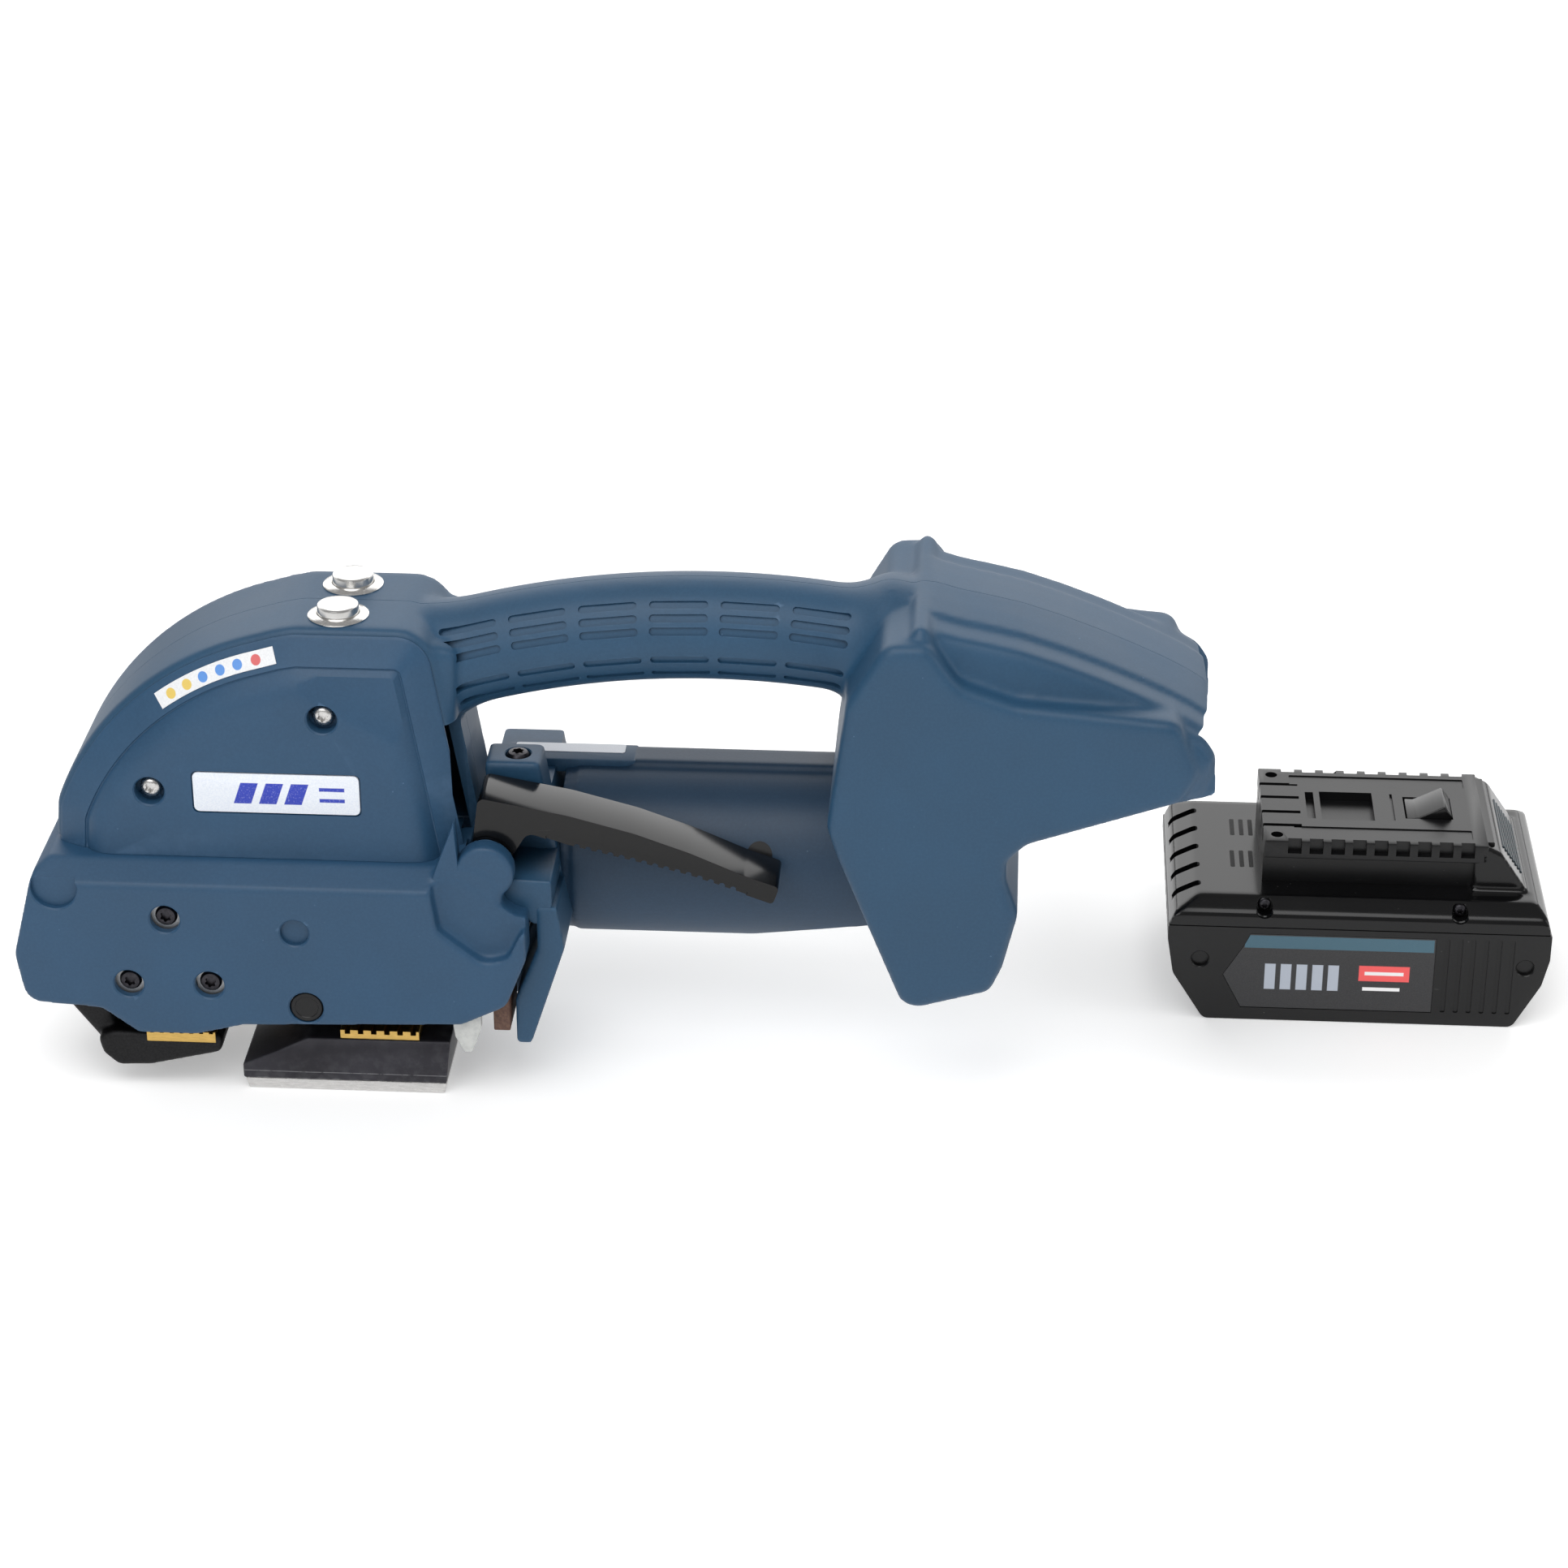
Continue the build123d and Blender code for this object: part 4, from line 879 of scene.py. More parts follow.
def make_lower_cover():
    body = slab("lower", lower_loop, "Y", -41.0, 0.0)
    slope_cut(body, (0, -31.0, HEAD_FOOT + 0.5), Vector((0, -0.47, 0.883)))
    soften(body, 2.6, lambda a, b, e: a.y < -5 and b.y < -5 and abs(a.y - b.y) < 11, 4, 20)
    trim_loop = rounded([(34, 90), (34.6, 74.2), (46.5, 66.6), (53, 62), (70, 61), (70, 90)], [1, 2, 3, 3,
                        1, 1])
    cut(body, slab("trim", trim_loop, "Y", -50.0, 1.0))
    pocket_loop = rounded([(25.5, 90), (27.2, 69), (28.8, 57.5), (42, 46.8), (49.5, 48.6), (53.6, 58), (70,
                          62), (70, 90)],
                          [2, 6, 4, 6, 5, 6, 2, 2])
    pocket = slab("pocket", pocket_loop, "Y", -46.0, -36.9)
    for vertex in pocket.data.vertices:
        if vertex.co.y > -40 * MM:
            vertex.co.x += 1.4 * MM
            vertex.co.z += 1.0 * MM
    cut(body, pocket)
    shoulder = rod("Y", 37.2, 67.2, 11.6, -36.6, -12.0, 64)
    soften(shoulder, 1.8, lambda a, b, e: a.y < -36 and b.y < -36, 3)
    boss = rod("Y", 43.6, 75.4, 8.8, -36.2, -29.7, 48)
    soften(boss, 1.2, lambda a, b, e: a.y < -36 and b.y < -36, 3)
    body = mould("lower", [body, shoulder, boss], 0.72, 6)
    spike = slab("spike", [(27.4, HEAD_FOOT - 4), (35.2, 92.3), (36.4, HEAD_FOOT - 4)], "Y", -36.5, -31.0)
    soften(spike, 0.5, segments=2)
    cut(body, spike, operation="UNION")
    room = slab("room", shrink(lower_loop, 2.6), "Y", -38.4, 1)
    cut(room, block(24.0, 90, -60, -34.2, 0, 120))
    cut(room, slab("keep", shrink(trim_loop, -2.6), "Y", -60, -30))
    cut(body, room)
    cut(body, block(-92.7, 60, -38.4, 1, 10, 34))
    cut(body, block(38, 60, -29.9, 1, 34, 90))
    cut(body, rod("Y", 37.2, 67.2, 9.4, -30.0, 0.0, 48))
    cut(body, rod("Y", 43.6, 77.0, 7.0, -34.3, -20.0, 48))
    for x, z, radius, depth in ((-84.3, 69.2, 6.9, 2.0), (-13.0, 56.3, 4.3, 1.8)):
        cut(body, screw_pocket(x, z, -41.0, depth, radius))
    for x, z in ((-51.6, 59.7), (-63.9, 37.4), (-39.6, 37.7)):
        cut(body, screw_pocket(x, z, -41.0, 4.5, 4.5))
    cut(body, screw_pocket(-10.7, 30.8, -41.0, 5.0, 5.15))
    finish(wash(body), "lower_cover_near", "tool", PAINTS["cover_blue"], ["lower_side_cover"])


def make_back_cover():
    body = slab("back", lower_loop, "Y", 0.05, 36.0)
    slope_cut(body, (0, 30.5, HEAD_FOOT), Vector((0, 0.694, 0.72)))
    soften(body, 2.6, lambda a, b, e: a.y > 5 and b.y > 5 and abs(a.y - b.y) < 11, 4, 20)
    body = mould("back", [body], 0.85, 5)
    cut(body, slab("room", shrink(lower_loop, 2.6), "Y", -1, 33.4))
    cut(body, block(-92.7, 60, -1, 33.4, 10, 34))
    cut(body, rod("X", 17.0, 59.5, 8.0, 40, 60))
    for x, z in ((-80.0, 60.0), (-80.0, 36.0), (38.0, 36.0), (38.0, 68.0)):
        profile = [(0.0, -3.4), (3.9, -3.4), (3.9, -0.4), (4.3, 0.0), (4.4, 1.5), (0.0, 1.5)]
        cut(body, turned("pocket", profile, at(x, 36.0, z) @ FAR_FACING, 40))
    finish(wash(body), "lower_cover_back", "tool", PAINTS["cover_blue"], ["lower_back_cover"])


# --- gearbox cover and motor barrel -------------------------------------------------------------------------
def make_gearbox():
    high = rounded([(41.2, 76.2), (41.2, 99), (57.5, 99), (60.5, 80), (66.3, 48), (56.2, 20), (46, 20), (45,
                   40)], 1.2)
    low = rounded([(58.0, 62), (64.2, 62), (66.3, 48), (55.5, 15), (51, 15), (51, 30), (58, 48)], 0.8)
    upper = soften(slab("high", high, "Y", -9.5, 40), 1.8, lambda a, b, e: abs(a.y - b.y) < 0.01, 3)
    lower = soften(slab("low", low, "Y", -31, 0), 1.2, lambda a, b, e: abs(a.y - b.y) < 0.01, 3)
    body = mould("gearbox", [upper, lower], 0.8, 3)
    room = rounded([(38, 83), (57.5, 83), (58.5, 79), (63.5, 48), (55, 24), (38, 24)], 1.0)
    cut(body, slab("room", room, "Y", 0, 37.5))
    cut(body, block(30.0, 90.0, 3.5, 60.0, 86.0, 120.0))
    cut(body, rod("X", 17.0, 59.5, 4.0, 30, 80))
    cut(body, slab("lower", shrink(lower_loop, -0.2), "Y", -60, 46))
    fill = soften(slab("fill", [(45.5, 68.0), (52.0, 60.5), (57.0, 56.0), (62.8, 56.0), (62.8, 70.5), (50.5,
                  71.0)], "Y", -30.5, 0), 0.8)
    cut(body, fill, operation="UNION")
    cut(body, turned("pocket", [(0.0, -1.8), (3.9, -1.8), (3.9, -0.3), (4.2, 0.0), (4.3, 4.0), (0.0, 4.0)],
                     at(50.5, -2.5, 99.0), 40))
    finish(wash(body), "gearbox_housing", "tool", PAINTS["housing_blue"], ["gearbox_cover"])


def make_barrel():
    tube = rod("X", 17.0, 59.5, 27.0, 66.6, 172, 128)
    lid = block(82, 172, 15, 26.3, 70, 88.5)
    soften(lid, 1.2, segments=3)
    skirt = rod("X", 17.0, 59.5, 26.2, 62.5, 70, 96)
    body = mould("barrel", [tube, lid, skirt], 0.9, 4)
    slope_cut(body, (118, 4.74, 35.4), Vector((0.108, -0.451, -0.886)))
    cut(body, rod("X", 17.0, 59.5, 24.4, 60, 140, 64))
    cut(body, rod("X", 17.0, 59.5, 20.0, 130, 180, 64))
    cut(body, slab("leg", shrink(cheek_loop, 0.4), "Y", -46, 46))
    cut(body, slab("taper", [(118, 20), (118, 32.6), (174, 47), (174, 20)], "Y", -60, 60))
    cut(body, rod("Y", 123.2, 69.5, 3.9, -30, 10))
    cut(body, block(168, 240, -60, 60, 0, 120))
    # Painted shade: the barrel is the same blue plastic as the housing, darkened here to about two thirds to stand in
    # for the shade it sits in below the handle and hood.
    paint = moulded_plastic("barrel_blue_painted_shade", (0.011, 0.038, 0.078))
    finish(wash(body), "motor_tube", "tool", paint, ["motor_barrel"])


# --- lever -------------------------------------------------------------------------------------------------------
def make_lever():
    outline = rounded([(41.6, 97.0), (68, 92.0), (87.5, 86.7), (104, 80.7), (120, 73.7), (130.5, 70.0),
                       (128.5, 64.4),
                       (118, 68.2), (104, 73.0), (87, 77.4), (68, 82), (56, 86), (50, 76), (38.6, 74)],
                      [2, 30, 30, 30, 12, 1.5, 1.2, 12, 20, 20, 3, 3, 3, 1.5], 5)
    body = slab("lever", outline, "Y", -29.0, -12.0)
    soften(body, 2.6, lambda a, b, e: abs(a.y - b.y) < 0.01 and (a.z + b.z) / 2 > 97.5 - (a.x - 41) * 0.262 - 4.2
           - max(0, a.x - 68) * 0.06, 4)
    soften(body, 0.7, lambda a, b, e: abs(a.y - b.y) < 0.01, 2, 40)
    hub = rod("Y", 43.6, 77.0, 6.0, -29.0, -12.0)
    cut(body, hub, operation="UNION")
    under = [(66, 82.5), (68, 82.0), (87, 77.4), (104, 73.0), (118, 68.2), (128.5, 64.4)]
    for step in range(15):
        x = 70.5 + step * 3.3
        (x0, z0), (x1, z1) = next(pair for pair in zip(under, under[1:]) if pair[1][0] >= x)
        cut(body, rod("Y", x, z0 + (z1 - z0) * (x - x0) / (x1 - x0) + 0.05, 0.95, -30, -11, 12))
    flank = slab("flank", rounded([(58, 86.8), (88, 80.6), (121, 69.9), (121, 66.5), (104, 72.0), (87,
                 76.2), (66, 80.5)], 1.5),
                 "Y", -30, -28.3)
    cut(body, flank)
    cut(body, rod("Y", 43.6, 77.0, 3.05, -60, 60))
    finish(wash(body), "release_lever", "lever_body", PAINTS["black_gloss"], ["lever"], 30)


# --- screws, plugs and buttons --------------------------------------------------------------------------------------
def torx_screw(radius, height, shank, length, socket):
    profile = [(0.0, height * 0.95), (radius * 0.45, height), (radius * 0.8, height * 0.9), (radius * 0.97,
               height * 0.6),
               (radius, height * 0.25), (radius * 0.96, 0.0), (shank, 0.0), (shank, -length), (0.0, -length)]
    screw = turned("screw", profile, Matrix.Identity(4), 40)
    star = []
    for step in range(36):
        angle = 2 * math.pi * step / 36
        reach = socket * (0.86 + 0.14 * math.cos(6 * angle))
        star.append((reach * math.cos(angle), reach * math.sin(angle)))
    cut(screw, slab("star", star, "Z", height - 1.3, height + 1))
    return screw


def screws_at(name, screw, spots, facing, slot, nodes):
    copies = [duplicate(screw, at(*spot) @ facing @ Matrix.Rotation(0.4 + i, 4, "Z")) for i,
              spot in enumerate(spots)]
    bpy.data.objects.remove(screw)
    return finish(join(*copies), name, "tool", PAINTS[slot], nodes, 40)


def make_screws():
    spots = [(x, -26.0, z) for x, z in COVER_SCREWS]
    screws_at("cover_torx", torx_screw(3.3, 2.3, 1.85, 6.0, 1.75), spots, NEAR_FACING, "bright_steel",
              ["cover_screws"])
    spots = [(x, 26.0, z) for x, z in COVER_SCREWS]
    screws_at("back_cover_torx", torx_screw(3.3, 2.3, 1.85, 6.0, 1.75), spots, FAR_FACING, "bright_steel",
              ["back_cover_screws"])
    spots = [(x, -36.6, z) for x, z in ((-51.6, 59.7), (-63.9, 37.4), (-39.6, 37.7))]
    screws_at("frame_torx", torx_screw(3.4, 2.5, 1.45, 3.0, 1.8), spots, NEAR_FACING, "blackened_steel",
              ["frame_screws"])
    spots = [(x, 32.6, z) for x, z in ((-80.0, 60.0), (-80.0, 36.0), (38.0, 36.0), (38.0, 68.0))]
    screws_at("back_frame_torx", torx_screw(3.4, 2.5, 1.45, 4.8, 1.8), spots, FAR_FACING, "blackened_steel",
              ["back_frame_screws"])
    screws_at("barrel_torx", torx_screw(3.5, 2.5, 1.55, 7.5, 1.9), [(50.5, -2.5, 97.25)], Matrix.Identity(4),
              "blackened_steel", ["barrel_screw"])
    plug = turned("plug", [(0.0, -4.0), (4.9, -4.0), (4.95, -0.4), (4.6, 0.0), (3.6, 0.05), (3.4, -0.15),
                           (0.0, -0.2)],
                  at(-10.7, -40.35, 30.8) @ NEAR_FACING, 40)
    finish(plug, "cover_stopper", "tool", PAINTS["black_satin"], ["cover_plug"])


def make_buttons():
    flanges = []
    for name, x, y in (("near", 0.0, -11.0), ("far", 1.0, 11.0)):
        profile = [(6.25, -13.0), (8.0, -13.0), (8.0, 0.0), (9.0, 0.05), (9.0, 0.3), (8.6, 0.55), (7.0,
                   1.15), (6.6, 1.2),
                   (6.25, 0.9)]
        flanges.append(turned("bezel", profile, at(x, y, HEAD_TOP), 64))
        cap = turned("cap", [(0.0, -9.5), (6.1, -9.5), (6.1, 3.0), (5.95, 3.45), (5.5, 3.65), (5.2, 3.55),
                             (0.0, 3.5)],
                     at(x, y, HEAD_TOP), 64)
        paint = ring_metal("button_steel_" + name, (0.78, 0.77, 0.75), 0.24, x, y)
        finish(cap, "push_button_" + name, name + "_button", paint, ["button_cap_" + name], 25)
    finish(join(*flanges), "button_flanges", "tool",
           metal("turned_steel", (0.74, 0.73, 0.71), 0.22, (1, 1, 1), 0.006, 0.12), ["button_bezels"], 25)


# --- labels ------------------------------------------------------------------------------------------------------------
def make_name_plate():
    x0, x1, z0, z1 = PLATE_AREA
    plate = slab("plate", rounded([(x0, z0), (x1, z0), (x1, z1), (x0, z1)], 1.7), "Y", -30.62, -29.75)
    soften(plate, 0.18, lambda a, b, e: a.y < -30.6 and b.y < -30.6, 2)
    p = Paint("name_plate_print")
    sparkle = p.noise(2.6, 5.0, 0.7)
    white = p.mix(sparkle.ramp(0.3, 0.7), (0.70, 0.75, 0.84), (0.83, 0.86, 0.90))
    lean = p.x + p.z * -0.35
    bars = None
    for start, wide in ((-63.5, 5.2), (-56.0, 5.2), (-48.5, 5.2)):
        bar = ((lean - (start + wide / 2)).size() * -1 + wide / 2).ramp(-0.08, 0.08)
        bars = bar if bars is None else bars.bigger(bar)
    bars = bars * ((p.z - 97.4).size() * -1 + 3.4).ramp(-0.08, 0.08)
    line = p.box(-5.0, 2.5, 95.0, 96.2).bigger(p.box(-5.0, 2.5, 98.6, 99.8))
    ink = p.noise(1.8, 4.0).ramp(0.2, 0.5) * 0.25 + 0.75
    colour = p.mix(bars.bigger(line) * ink, white, (0.012, 0.035, 0.42))
    face = p.to(Base_Color=colour, Roughness=0.34 + (sparkle - 0.5) * 0.2, Normal=p.bump(sparkle, 0.015, 0.5))
    finish(plate, "name_plate_print", "tool", face, ["name_plate"])


def border_spot(share, depth):
    """Point on the sloping border of the near cover: 0 to 1 along the front arc, depth in from its edge."""
    bow = shrink(head_loop(HEAD_FOOT), 1.6)[1:26]
    spot = share * (len(bow) - 1)
    i = min(int(spot), len(bow) - 2)
    a, b = Vector(bow[i]), Vector(bow[i + 1])
    along = (b - a).normalized()
    return a.lerp(b, spot - i) + Vector((along.y, -along.x)) * depth


def border_sheet(name, share0, share1, inner, outer, lift, thick=0.18):
    """A thin printed strip lying on the sloping border of the near cover."""
    steps = 24
    deselect()
    bpy.ops.mesh.primitive_grid_add(x_subdivisions=steps, y_subdivisions=1, size=1)
    sheet = bpy.context.object
    sheet.name = name
    for index, vertex in enumerate(sheet.data.vertices):
        column, row = index % (steps + 1), index // (steps + 1)
        depth = inner if row else outer
        spot = border_spot(share0 + (share1 - share0) * column / steps, depth)
        out = 0.6 + 0.5 + (depth - 0.7) * 3.7 / 7.3
        vertex.co = Vector((spot.x, -HEAD_HALF - out - lift, spot.y)) * MM
    modify(sheet, "SOLIDIFY", thickness=thick * MM, offset=0)
    edit(sheet)
    bpy.ops.mesh.select_all(action="SELECT")
    bpy.ops.mesh.normals_make_consistent(inside=False)
    leave()
    return sheet


def make_strips():
    start, end = 0.545, 0.955
    strip = border_sheet("strip", start, end, 6.6, 1.9, 0.12)
    p = Paint("symbol_strip_print")
    fibre = p.noise(2.0, 4.0)
    colour = p.mix(fibre.ramp(0.3, 0.7), (0.80, 0.81, 0.82), (0.72, 0.73, 0.75))
    yellow, blue, red = (0.72, 0.50, 0.05), (0.03, 0.22, 0.65), (0.62, 0.05, 0.05)
    for i, ink in enumerate((yellow, yellow, blue, blue, blue, red)):
        mx, mz = border_spot(start + (end - start) * (0.13 + 0.155 * i), 4.25)
        size = 1.5
        dx, dz = p.x - mx, p.z - mz
        reach = p.node("Math", {"operation": "SQRT"}, {0: dx * dx + dz * dz})
        disc = (reach * -1 + size).ramp(-0.1, 0.1)
        colour = p.mix(disc * 0.9, colour, ink)
    face = p.to(Base_Color=colour, Roughness=0.4 + (fibre - 0.5) * 0.1, Normal=p.bump(fibre, 0.01, 0.4))
    finish(strip, "symbol_strip", "tool", face)
    sticker = slab("sticker", rounded([(46.5, 20.2), (80.2, 20.2), (80.2, 25.8), (46.5, 25.8)], 0.8), "Z",
                   88.45, 88.62)
    fascia = slab("fascia", rounded([(44.0, 15.2), (84.0, 15.2), (84.0, 26.3), (44.0, 26.3)], 0.8), "Z",
                  84.0, 88.46)
    soften(fascia, 0.5, segments=2)
    finish(fascia, "sticker_ledge", "tool", PAINTS["housing_blue"])
    finish(sticker, "barrel_sticker", "tool", PAINTS["white_label"])


# --- base plate and the strap path -----------------------------------------------------------------------------------------
def make_base():
    outline = [(-32, 3.5), (-32, 8.5), (-12, 17.4), (31.5, 17.4), (30, 3.5)]
    base = slab("base", outline, "Y", -37.0, 30.0)
    slope_cut(base, (0, -37.0, 13.2), Vector((0, -0.93, 0.36)))
    soften(base, 0.7, segments=3)
    cut(base, block(-2.2, 22.2, -35.2, -12.8, 15.9, 20))
    p = Paint("anodised_plate", Metallic=0.55)
    grain_ = p.noise(1.6, 4.0)
    cloud = p.noise(0.05, 3.0)
    colour = p.mix(cloud.ramp(0.3, 0.7), (0.018, 0.017, 0.022), (0.030, 0.029, 0.037))
    line = ((p.z - (6.1 + 0.25 * cloud)).size() * -1 + 0.13).ramp(-0.06, 0.06) * p.noise(0.4,
                                                                                         4.0).ramp(0.32, 0.5)
    rub = p.node("NewGeometry", out="Pointiness").ramp(0.52, 0.62) * p.noise(0.3, 4.0).ramp(0.4, 0.7)
    colour = p.mix(line * 0.5 + rub * 0.4, colour, (0.25, 0.25, 0.26))
    face = p.to(Base_Color=colour, Roughness=0.42 + (grain_ - 0.5) * 0.2, Normal=p.bump(grain_, 0.02, 0.5))
    finish(base, "base_block", "tool", face, ["base_plate"], 25)
    wear = slab("wear", rounded([(-30.5, 0), (29.3, 0), (30, 3.5), (-31.5, 3.5)], 0.4), "Y", -36.6, 30.0)
    soften(wear, 0.35, segments=2)
    finish(wear, "wear_slab", "tool", PAINTS["bright_steel"], ["base_wear_plate"], 25)


def make_rocker():
    outline = rounded([(-87.5, 72.0), (-80.5, 72.0), (-76, 50), (-73.0, 28), (-71.0, 18.8), (-37.5, 18.8),
                       (-38, 12.5),
                       (-60, 7.2), (-70, 6.8), (-75.5, 13), (-85, 26), (-88.5, 50)], [3, 3, 3, 3, 2, 2, 3,
                                                                                      3, 4, 3, 3, 3])
    arm = soften(slab("arm", outline, "Y", -33.5, 3), 1.8, lambda a, b, e: abs(a.y - b.y) < 0.01, 3)
    foot_loop = rounded([(-76.0, 17.0), (-70.5, 18.8), (-37.5, 18.8), (-38, 12.5), (-60, 7.2), (-70, 6.8),
                         (-74.5, 11)], 2.4)
    foot = soften(slab("foot", foot_loop, "Y", -38, -30), 1.6, lambda a, b, e: abs(a.y - b.y) < 0.01, 3)
    body = mould("rocker", [arm, foot], 0.7, 5)
    cut(body, rod("Y", -84.0, 68.8, 2.55, -60, 60, 32))
    cut(body, block(-60.5, -39.5, -40, -10, 16.0, 22))
    finish(wash(body), "rocker_forging", "rocker_body",
           metal("forged_black", (0.030, 0.030, 0.031), 0.50, (1, 1, 1), 0.09, 0.3), ["rocker"])


def toothed(name, x0, x1, y0, y1, z0, z1, pitch, depth, up, body, slot, node):
    bar = slab(name, [(x0, z0), (x1, z0), (x1, z1), (x0, z1)], "Y", y0, y1)
    for step in range(int((x1 - x0) / pitch)):
        gx = x0 + pitch * (step + 0.35)
        if up:
            cut(bar, block(gx, gx + pitch * 0.4, y0 - 1, y1 + 1, z1 - depth, z1 + 1))
        else:
            cut(bar, block(gx, gx + pitch * 0.4, y0 - 1, y1 + 1, z0 - 1, z0 + depth))
    soften(bar, 0.18, segments=2)
    finish(wash(bar), name, body, PAINTS[slot], [node], 25)


def make_strap_path():
    toothed("gripper_bar", -2, 22, -35, -13, 15.9, 20.2, 4.0, 1.3, True, "tool", "brass", "weld_gripper")
    toothed("foot_insert", -60.5, -39.5, -38, -10, 16.0, 19.6, 3.0, 0.6, True, "rocker_body", "brass",
            "rocker_insert")
    tongue_loop = rounded([(33, 24.5), (33.5, 21), (36, 15.8), (38.5, 15.8), (40.5, 21), (41.5, 24.5),
                           (41.5, 36), (33, 36)], 1.2)
    tongue = soften(slab("tongue", tongue_loop, "Y", -38.5, -35.5), 0.5, segments=3)
    finish(tongue, "strap_guide_tongue", "tool", PAINTS["pale_plastic"], ["strap_tongue"])
    brown = soften(block(44.5, 49.5, -33, -15, 20.5, 33), 0.4, segments=2)
    finish(brown, "guide_pad", "tool", PAINTS["brown_block"], ["guide_block"])


# --- battery -------------------------------------------------------------------------------------------------------------------
PACK_X0, PACK_X1 = 248.0, 366.0
PACK_NEAR, PACK_FAR = 23.0, 98.0
PACK_MID = 60.5
RAIL_X0, RAIL_X1 = 277.0, 346.0
SPLIT = 32.7
DECK = 41.0
RAIL_TOP = 56.6


def make_lower_case():
    outline = rounded([(PACK_X0 + 12, 0), (PACK_X0 + 2, 16), (PACK_X0, 28), (PACK_X0, SPLIT - 0.15),
                       (PACK_X1, SPLIT - 0.15),
                       (PACK_X1, 24), (PACK_X1 - 2, 15), (PACK_X1 - 10, 0)], [3, 6, 4, 0.3, 0.3, 4, 6, 3])
    case = slab("case", outline, "Y", PACK_NEAR, PACK_FAR)
    soften(case, 4.2, lambda a, b, e: abs(a.y - b.y) < 0.01 and min(a.z, b.z) < SPLIT - 0.5, 5, 20)
    inner = slab("inner", shrink(outline, 2.2), "Y", PACK_NEAR + 2.4, PACK_FAR - 2.4)
    cut(case, inner)
    cut(case, block(PACK_X0 + 2.3, PACK_X1 - 2.3, PACK_NEAR + 2.4, PACK_FAR - 2.4, SPLIT - 4, SPLIT + 1))
    for x in (258.3, 358.6):
        profile = [(0.0, -1.5), (2.7, -1.5), (2.7, -0.3), (3.0, 0.0), (3.1, 2.5), (0.0, 2.5)]
        cut(case, turned("hole", profile, at(x, PACK_NEAR, 21.0) @ NEAR_FACING, 32))
    window = [(271.5, 4.2), (330.8, 4.2), (330.8, 30.5), (273.5, 30.5), (271.6, 26.2), (265.4, 15.8)]
    cut(case, slab("window", window, "Y", PACK_NEAR - 2, PACK_NEAR + 0.35))
    for side, (a, b) in ((PACK_NEAR, (-1, 0.45)), (PACK_FAR, (-0.45, 1))):
        for step in range(6):
            x = 334.2 + step * 4.0
            bar = slab("rib", rounded([(x - 0.75, 4.5), (x + 0.75, 4.5), (x + 0.75, 30.6), (x - 0.75,
                       30.6)], 0.5, 3), "Y", side + a, side + b)
            cut(case, bar)
    for side, end in ((-1, PACK_X0), (1, PACK_X1)):
        for step in range(5):
            y = PACK_MID + (step - 2) * 9.5
            slot = rounded([(y - 1.1, 19.0), (y + 1.1, 19.0), (y + 1.1, 31.0), (y - 1.1, 31.0)], 1.0, 4)
            cut(case, slab("vent", slot, "X", end - 2.0 if side < 0 else end - 0.9,
                           end + 0.9 if side < 0 else end + 2.0))
    finish(wash(case), "battery_tub", "battery", PAINTS["black_satin"], ["battery_lower_case"])


def make_battery_label():
    window = [(271.6, 4.4), (330.6, 4.4), (330.6, 30.3), (273.6, 30.3), (271.8, 26.2), (265.7, 15.8)]
    label = slab("label", window, "Y", PACK_NEAR + 0.12, PACK_NEAR + 0.34)
    p = Paint("battery_label_print")
    fibre = p.noise(2.5, 4.0)
    colour = p.mix(fibre.ramp(0.3, 0.7), (0.016, 0.016, 0.018), (0.026, 0.026, 0.028))
    band = p.box(271.9, 330.2, 25.5, 29.9)
    colour = p.mix(band, colour, (0.045, 0.115, 0.16))
    bars = None
    for step in range(5):
        x = 278.5 + step * 4.9
        bar = p.box(x, x + 3.3, 11.0, 20.0)
        bars = bar if bars is None else bars.bigger(bar)
    colour = p.mix(bars, colour, (0.42, 0.46, 0.53))
    colour = p.mix(p.box(307.6, 323.2, 14.8, 20.2), colour, (0.86, 0.10, 0.10))
    lines = p.box(309.4, 321.4, 16.9, 18.1).bigger(p.box(309.0, 320.5, 11.4, 12.6))
    colour = p.mix(lines, colour, (0.86, 0.86, 0.86))
    face = p.to(Base_Color=colour, Roughness=0.42 + (fibre - 0.5) * 0.12, Normal=p.bump(fibre, 0.012, 0.5))
    finish(label, "battery_label_print", "battery", face, ["battery_label"])


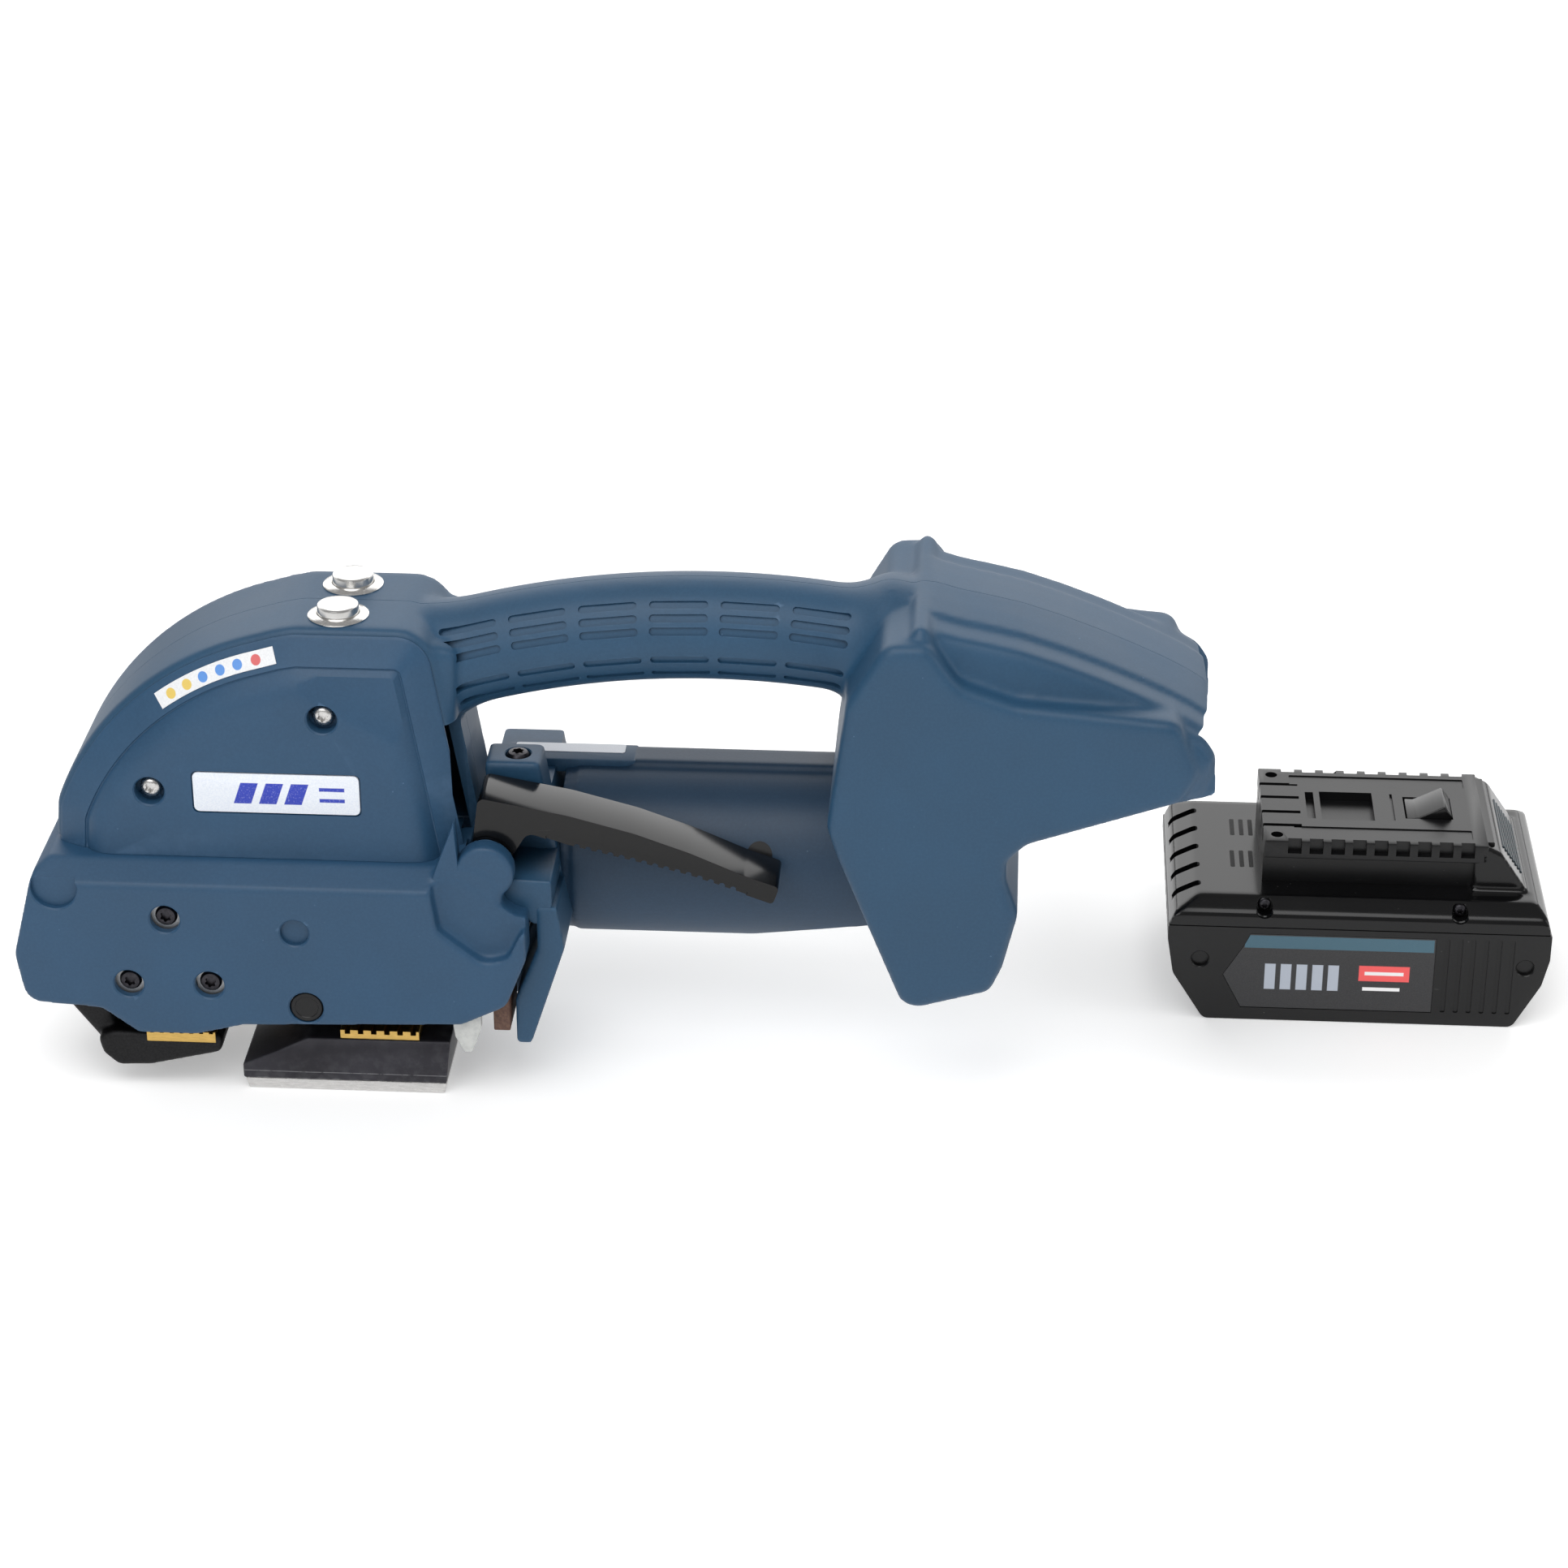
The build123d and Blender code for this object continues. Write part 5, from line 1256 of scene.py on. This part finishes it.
def make_battery_top():
    """Upper case: sloping shoulders, then the rail block that slides into the tool."""
    low_loop = rounded([(PACK_X0 + 0.1, SPLIT - 4), (PACK_X0 + 0.1, SPLIT), (PACK_X0 + 2.2, 37.5),
                        (PACK_X0 + 9, DECK), (PACK_X1 - 5, DECK),
                        (PACK_X1 - 1.5, 37.5), (PACK_X1 - 0.1, SPLIT), (PACK_X1 - 0.1, SPLIT - 4)], [0.3, 4,
                                                                                                     4, 4, 2, 3, 3, 0.3])
    tray = slab("tray", low_loop, "Y", PACK_NEAR + 0.1, PACK_FAR - 0.1)
    end_low = rounded([(PACK_NEAR + 0.1, SPLIT - 6), (PACK_NEAR + 0.1, SPLIT + 4.4), (PACK_NEAR + 6.0,
                      DECK), (PACK_FAR - 6.0, DECK),
                       (PACK_FAR - 0.1, SPLIT + 4.4), (PACK_FAR - 0.1, SPLIT - 6)], [0.3, 3, 3, 3, 3, 0.3])
    cut(tray, slab("profile", end_low, "X", PACK_X0 - 2, PACK_X1 + 2), operation="INTERSECT")
    tail_loop = rounded([(RAIL_X1 - 4, DECK - 2), (RAIL_X1 - 4, RAIL_TOP), (RAIL_X1 - 1, RAIL_TOP),
                         (RAIL_X1 + 4, RAIL_TOP - 2.5),
                         (PACK_X1 - 5.5, DECK - 2)], [0.3, 0.5, 3, 4, 0.3])
    tail = slab("tail", tail_loop, "Y", PACK_MID - 25.0, PACK_MID + 25.0)
    soften(tail, 2.5, lambda a, b, e: abs(a.y - b.y) < 0.01 and min(a.x, b.x) > RAIL_X1 - 2, 3)
    body = mould("top", [tray, tail], 0.75, 4)
    cut(body, block(PACK_X0 - 5, PACK_X1 + 5, PACK_NEAR - 5, PACK_FAR + 5, SPLIT - 20, SPLIT + 0.15))
    room = slab("room", shrink(low_loop, 2.2), "Y", PACK_NEAR + 7, PACK_FAR - 7)
    cut(body, room)
    for x in (277.5, 337.5):
        profile = [(0.0, -3.9), (2.5, -3.9), (2.5, -0.3), (2.8, 0.0), (2.9, 3.0), (0.0, 3.0)]
        cut(body, turned("hole", profile, at(x, PACK_NEAR + 1.2, 38.6) @ NEAR_FACING, 32))
    for step in range(5):
        y = PACK_MID + (step - 2) * 12.2
        vent = slab("vent", rounded([(246.0, y - 1.7), (258.0, y - 1.7), (258.0, y + 1.7), (246.0,
                    y + 1.7)], 1.2, 4), "Z", 35.2, 60)
        cut(body, vent)
    finish(wash(body), "battery_shoulders", "battery", PAINTS["black_gloss"],
           ["battery_upper_case"])
    rail_loop = rounded([(RAIL_X0, DECK - 1), (RAIL_X0, RAIL_TOP - 0.05), (RAIL_X1 + 2, RAIL_TOP - 0.05),
                         (RAIL_X1 + 2, DECK - 1)], 0.4)
    neck = slab("neck", rail_loop, "Y", PACK_MID - 21.8, PACK_MID + 21.8)
    head = slab("head", rounded([(RAIL_X0, RAIL_TOP - 6), (RAIL_X0, RAIL_TOP), (RAIL_X1, RAIL_TOP),
                                 (RAIL_X1, RAIL_TOP - 6)], 0.4), "Y",
                PACK_MID - 25.0, PACK_MID + 25.0)
    soften(head, 0.6, segments=2)
    cut(neck, head, operation="UNION")
    for side in (-1, 1):
        for step in range(9):
            x = RAIL_X0 + 7.3 + step * 6.66
            edge = PACK_MID + side * 25.0
            cut(neck, block(x, x + 4.2, edge - 2.2, edge + 2.2, RAIL_TOP - 4.2, RAIL_TOP + 1))
        cut(neck, rod("Z", 281.0, PACK_MID + side * 20.5, 1.9, RAIL_TOP - 2.5, RAIL_TOP + 1, 24))
        panel = rounded([(286.5, PACK_MID + side * 17.5 - 3.0), (341.5, PACK_MID + side * 17.5 - 3.0),
                         (341.5, PACK_MID + side * 17.5 + 3.0), (286.5, PACK_MID + side * 17.5 + 3.0)], 0.4)
        cut(neck, slab("panel", panel, "Z", RAIL_TOP - 0.35, RAIL_TOP + 1))
    for y in (-14, -5, 5, 14):
        cut(neck, block(RAIL_X0 - 1, RAIL_X0 + 12, PACK_MID + y - 0.9, PACK_MID + y + 0.9, RAIL_TOP - 6,
                        RAIL_TOP + 1))
    cut(neck, block(291.0, 293.6, PACK_MID - 9.0, PACK_MID + 9.0, RAIL_TOP - 2.5, RAIL_TOP + 1))
    cut(neck, block(295.5, 312.0, PACK_MID - 9.5, PACK_MID + 9.5, RAIL_TOP - 3.0, RAIL_TOP + 1))
    cut(neck, block(321.6, 336.4, PACK_MID - 7.4, PACK_MID + 7.4, 45.5, 70))
    cut(neck, block(317.6, 318.4, PACK_MID - 9.0, PACK_MID + 9.0, RAIL_TOP - 0.8, RAIL_TOP + 1))
    soften(neck, 0.22, segments=2, sharper=50)
    finish(wash(neck), "battery_rail", "battery", PAINTS["black_satin"], (), 28)
    ribs = []
    top, foot = Vector((RAIL_X1 + 4, RAIL_TOP - 2.5)), Vector((PACK_X1 - 5.5, DECK - 2))
    down = (foot - top).normalized()
    out = Vector((-down.y, down.x))
    for step in range(8):
        spot = top + down * (2.6 + step * 1.5)
        corners = [spot + down * a + out * b for a, b in ((-0.4, -1.2), (0.4, -1.2), (0.4, 0.35), (-0.4, 0.35))]
        ribs.append(slab("rib", rounded([tuple(c) for c in corners], 0.15, 2), "Y", PACK_MID - 16, PACK_MID + 16))
    finish(join(*ribs), "battery_grip_ribs", "battery",
           black_plastic("grey_blue_ribs", (0.020, 0.036, 0.046), 0.35, 1.6, 0.01))
    seats = []
    for x in (277.5, 337.5):
        seats.append(duplicate_screw(x))
    finish(join(*seats), "battery_torx", "battery", PAINTS["blackened_steel"],
           ["battery_screws"], 40)
    wedge_loop = [(322.0, 50.5), (322.0, RAIL_TOP - 0.2), (325.0, RAIL_TOP - 0.2), (333.5, RAIL_TOP + 4.1),
                  (336.0, RAIL_TOP + 1), (336.0, 50.5)]
    wedge = soften(slab("wedge", wedge_loop, "Y", PACK_MID - 7.0, PACK_MID + 7.0), 0.5, segments=3)
    finish(wedge, "battery_catch", "latch_body", PAINTS["black_gloss"], ["battery_latch"], 28)
    vents = []
    for middle in (74.0, 52.6):
        for step in range(3):
            x = 269.0 + step * 2.9 - (74.0 - middle) * 0.03
            vents.append(slab("louvre", rounded([(x - 0.7, middle - 5.4), (x + 0.7, middle - 5.4), (x + 0.7,
                         middle + 5.4), (x - 0.7, middle + 5.4)], 0.4, 3),
                              "Z", DECK - 0.3, DECK + 0.05))
    finish(join(*vents), "battery_louvres", "battery", PAINTS["belt_rubber"])


def duplicate_screw(x):
    screw = torx_screw(2.0, 1.4, 1.15, 1.5, 1.05)
    screw.data.transform(at(x, PACK_NEAR + 5.0, 38.6) @ NEAR_FACING)
    return screw


# --- put it together ------------------------------------------------------------------------------------------------------------
def dress_frame_nodes():
    for name, node in NODES.items():
        paint = PAINTS[SLOT_OF[name]]
        for i in range(max(1, len(node.material_slots))):
            if node.material_slots:
                node.material_slots[i].material = paint
            else:
                node.data.materials.append(paint)


def make_floor():
    deselect()
    bpy.ops.mesh.primitive_plane_add(size=8, location=(0.14, 0.5, -0.0002))
    floor = bpy.context.object
    floor.name = "floor"
    p = Paint("studio_floor")
    soft = p.noise(0.004, 2.0)
    colour = p.mix(soft.ramp(0.3, 0.7), (0.86, 0.86, 0.86), (0.90, 0.90, 0.90))
    p.shader.inputs["Emission Color"].default_value = (1, 1, 1, 1)
    p.shader.inputs["Emission Strength"].default_value = 0.30
    floor.data.materials.append(p.to(Base_Color=colour, Roughness=0.55 + (soft - 0.5) * 0.1))


set_camera()
set_light()
make_floor()
dress_frame_nodes()
make_housing()
make_side_covers()
make_lower_cover()
make_back_cover()
make_gearbox()
make_barrel()
make_lever()
make_screws()
make_buttons()
make_name_plate()
make_strips()
make_base()
make_rocker()
make_strap_path()
make_lower_case()
make_battery_label()
make_battery_top()
